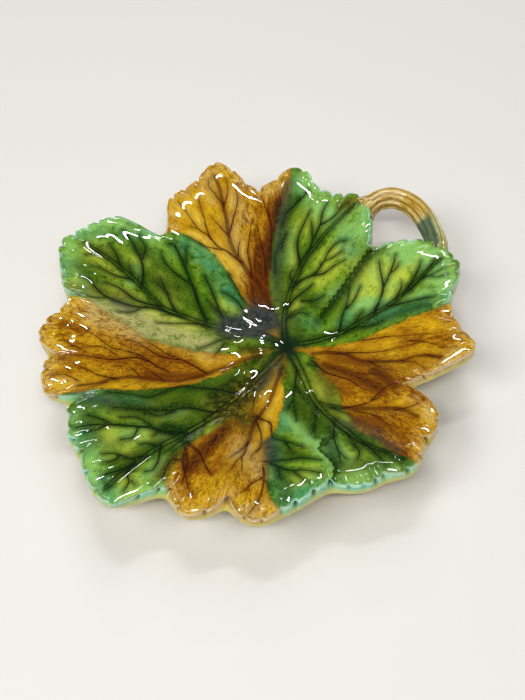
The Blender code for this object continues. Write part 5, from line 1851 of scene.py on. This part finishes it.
@dataclass(frozen=True)
class Lamp:
    """A flat lamp: its direction from the dish, its distance, its size and how much it gives."""

    name: str
    bearing: float
    elevation: float
    distance: float
    width: float
    height: float
    light: float
    gleams: bool = False

    def hang(self, aim: Vector) -> bpy.types.Object:
        """Hangs the lamp facing the dish; its light is the share of a white level that it gives there."""
        flat = math.cos(math.radians(self.elevation))
        away = Vector((
            math.cos(math.radians(self.bearing)) * flat,
            math.sin(math.radians(self.bearing)) * flat,
            math.sin(math.radians(self.elevation)),
        ))
        data = bpy.data.lights.new(self.name, "AREA")
        data.shape, data.size, data.size_y = "RECTANGLE", self.width, self.height
        # a flat lamp of power P gives an irradiance of P / (pi d^2) straight ahead; white needs pi, and a low
        # lamp gives a level surface less
        data.energy = self.light * math.pi**2 * self.distance**2 / max(away.z, 0.2)
        thing = bpy.data.objects.new(self.name, data)
        turned = away.to_track_quat("Z", "Y").to_matrix()
        thing.matrix_world = Matrix.Translation(aim + away * self.distance) @ turned.to_4x4()
        thing.visible_glossy = self.gleams
        bpy.context.scene.collection.objects.link(thing)
        return thing


@dataclass
class Studio:
    """The pale floor, the lamps, the world and the camera."""

    centre: Vector
    tilt_deg: float = 55.0
    roll_deg: float = 6.0
    focal_px: float = 1100.0
    px_per_mm: float = 1.88
    sensor_mm: float = 36.0
    picture: tuple[int, int] = (525, 700)
    aim_px: tuple[float, float] = (287.0, 347.0)
    aim_height: float = 0.008
    floor_radius: float = 6.0
    floor_roughness: float = 0.9
    floor_tone: str = "efece7"
    floor_fleck: str = "d8d4cc"
    world_level: float = 0.05
    backdrop: float = 0.9
    lamp_reach: float = 1.9
    floor_near: float = 0.45
    floor_far: float = 1.3
    lamps: tuple[Lamp, ...] = (
        Lamp("key", 205.0, 52.0, 1.8, 0.8, 0.8, 0.31),
        Lamp("fill_back", 70.0, 60.0, 1.8, 1.2, 1.0, 0.14),
        Lamp("fill_right", 310.0, 50.0, 1.6, 1.0, 0.8, 0.05),
        Lamp("bar_high", 88.0, 70.0, 1.8, 0.45, 0.08, 0.12, gleams=True),
        Lamp("bar_low", 88.0, 38.0, 1.8, 0.40, 0.03, 0.03, gleams=True),
        Lamp("bar_small", 73.0, 56.0, 1.8, 0.12, 0.03, 0.012, gleams=True),
        Lamp("bar_front", 265.0, 62.0, 1.6, 0.9, 0.12, 0.36, gleams=True),
    )

    def build_floor(self) -> bpy.types.Object:
        """A plain pale floor, which the camera still sees as pale where the lamps no longer reach."""
        bm = bmesh.new()
        bmesh.ops.create_circle(bm, cap_ends=True, segments=64, radius=self.floor_radius)
        floor = as_object("floor", bm)
        made = bpy.data.materials.new("floor_paper")
        made.use_nodes = True
        shader = made.node_tree.nodes["Principled BSDF"]
        bench = Bench(made.node_tree)
        tooth = bench.noise(bench.object_place(), 900.0, 2.0)
        paper = bench.mix(tooth * 0.04, self.floor_tone, self.floor_fleck)
        bench.wire(paper, shader.inputs["Base Color"])
        shader.inputs["Roughness"].default_value = self.floor_roughness
        shader.inputs["Emission Color"].default_value = (1.0, 1.0, 1.0, 1.0)
        off = bench.add("ShaderNodeVectorMath", operation="LENGTH")
        bench.wire(bench.object_place(), off.inputs[0])
        away = Signal(bench, off.outputs["Value"])
        lit = bench.math("POWER", away * away * (1 / self.lamp_reach**2) + 1.0, -2.0)
        seen = Signal(bench, bench.add("ShaderNodeLightPath").outputs["Is Camera Ray"])
        unlit = seen * (1.0 - lit) * away.band(self.floor_near, self.floor_far)
        bench.wire(unlit * (self.backdrop - self.world_level), shader.inputs["Emission Strength"])
        floor.data.materials.append(made)
        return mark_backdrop(floor) or floor

    def build_world(self) -> None:
        """A dim room, so that the glaze stays deep in colour, which the camera sees as white."""
        world = bpy.data.worlds.new("studio")
        world.use_nodes = True
        background = world.node_tree.nodes["Background"]
        bench = Bench(world.node_tree)
        seen = Signal(bench, bench.add("ShaderNodeLightPath").outputs["Is Camera Ray"])
        level = seen * (self.backdrop - self.world_level) + self.world_level
        bench.wire(level, background.inputs["Strength"])
        background.inputs["Color"].default_value = (1.0, 1.0, 1.0, 1.0)
        bpy.context.scene.world = world

    def build_camera(self) -> None:
        """The camera at the photograph's place: it looks down at the meeting point of the ribs."""
        tilt, roll = math.radians(self.tilt_deg), math.radians(self.roll_deg)
        depth = self.focal_px / self.px_per_mm * MM
        right, up = Vector((1, 0, 0)), Vector((0, math.sin(tilt), math.cos(tilt)))
        ahead = Vector((0, math.cos(tilt), -math.sin(tilt)))
        across = right * math.cos(roll) - up * math.sin(roll)
        above = right * math.sin(roll) + up * math.cos(roll)
        off_x = (self.aim_px[0] - self.picture[0] / 2) / self.focal_px * depth
        off_y = (self.picture[1] / 2 - self.aim_px[1]) / self.focal_px * depth
        aim = self.centre + Vector((0, 0, self.aim_height))
        data = bpy.data.cameras.new("photo_view")
        data.sensor_fit = "AUTO"
        data.sensor_width = self.sensor_mm
        data.lens = self.focal_px * self.sensor_mm / max(self.picture)
        data.clip_start = 0.01
        camera = bpy.data.objects.new("photo_view", data)
        place = aim - ahead * depth - across * off_x - above * off_y
        turned = Matrix((across, above, -ahead)).transposed()
        camera.matrix_world = Matrix.Translation(place) @ turned.to_4x4()
        bpy.context.scene.collection.objects.link(camera)
        bpy.context.scene.camera = camera

    def build(self) -> None:
        """Sets the whole studio up."""
        self.build_floor()
        self.build_world()
        for lamp in self.lamps:
            lamp.hang(self.centre)
        self.build_camera()
        bpy.context.scene.view_settings.view_transform = "Standard"


def stand_for(piece: bpy.types.Object, node: str) -> None:
    """Attaches a piece to the root, hides the part of the frame that it stands for, and reports which node
    that is.
    """
    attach(piece, "root")
    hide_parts(node)
    LOG.info("%s: %d faces, stands for %s", piece.name, len(piece.data.polygons), node)


def main() -> None:
    """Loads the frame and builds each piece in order."""
    logging.basicConfig(level=logging.INFO, format="%(name)s: %(message)s")
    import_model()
    plan = LeafPlan()
    low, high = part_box("foot_ring")
    foot = FootRing(plan, Vector((0, 0, 0)))
    shift_x, shift_y = polar(foot.shift, foot.axis_deg)
    centre = Vector(((low.x + high.x) / 2 - shift_x, (low.y + high.y) / 2 - shift_y, 0.0))
    foot.centre = centre
    effects = SharedEffects.built()

    leaf = LeafBlade(plan, LeafMap(plan), centre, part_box("leaf_dish")).build(LeafGlaze(effects))
    stand_for(leaf, "leaf_dish")
    for node, piece in StemHandle(plan, centre).build(StemGlaze(effects)).items():
        stand_for(piece, node)
    stand_for(foot.build(FootGlaze(effects)), "foot_ring")
    Studio(centre).build()


if __name__ == "__main__":
    main()
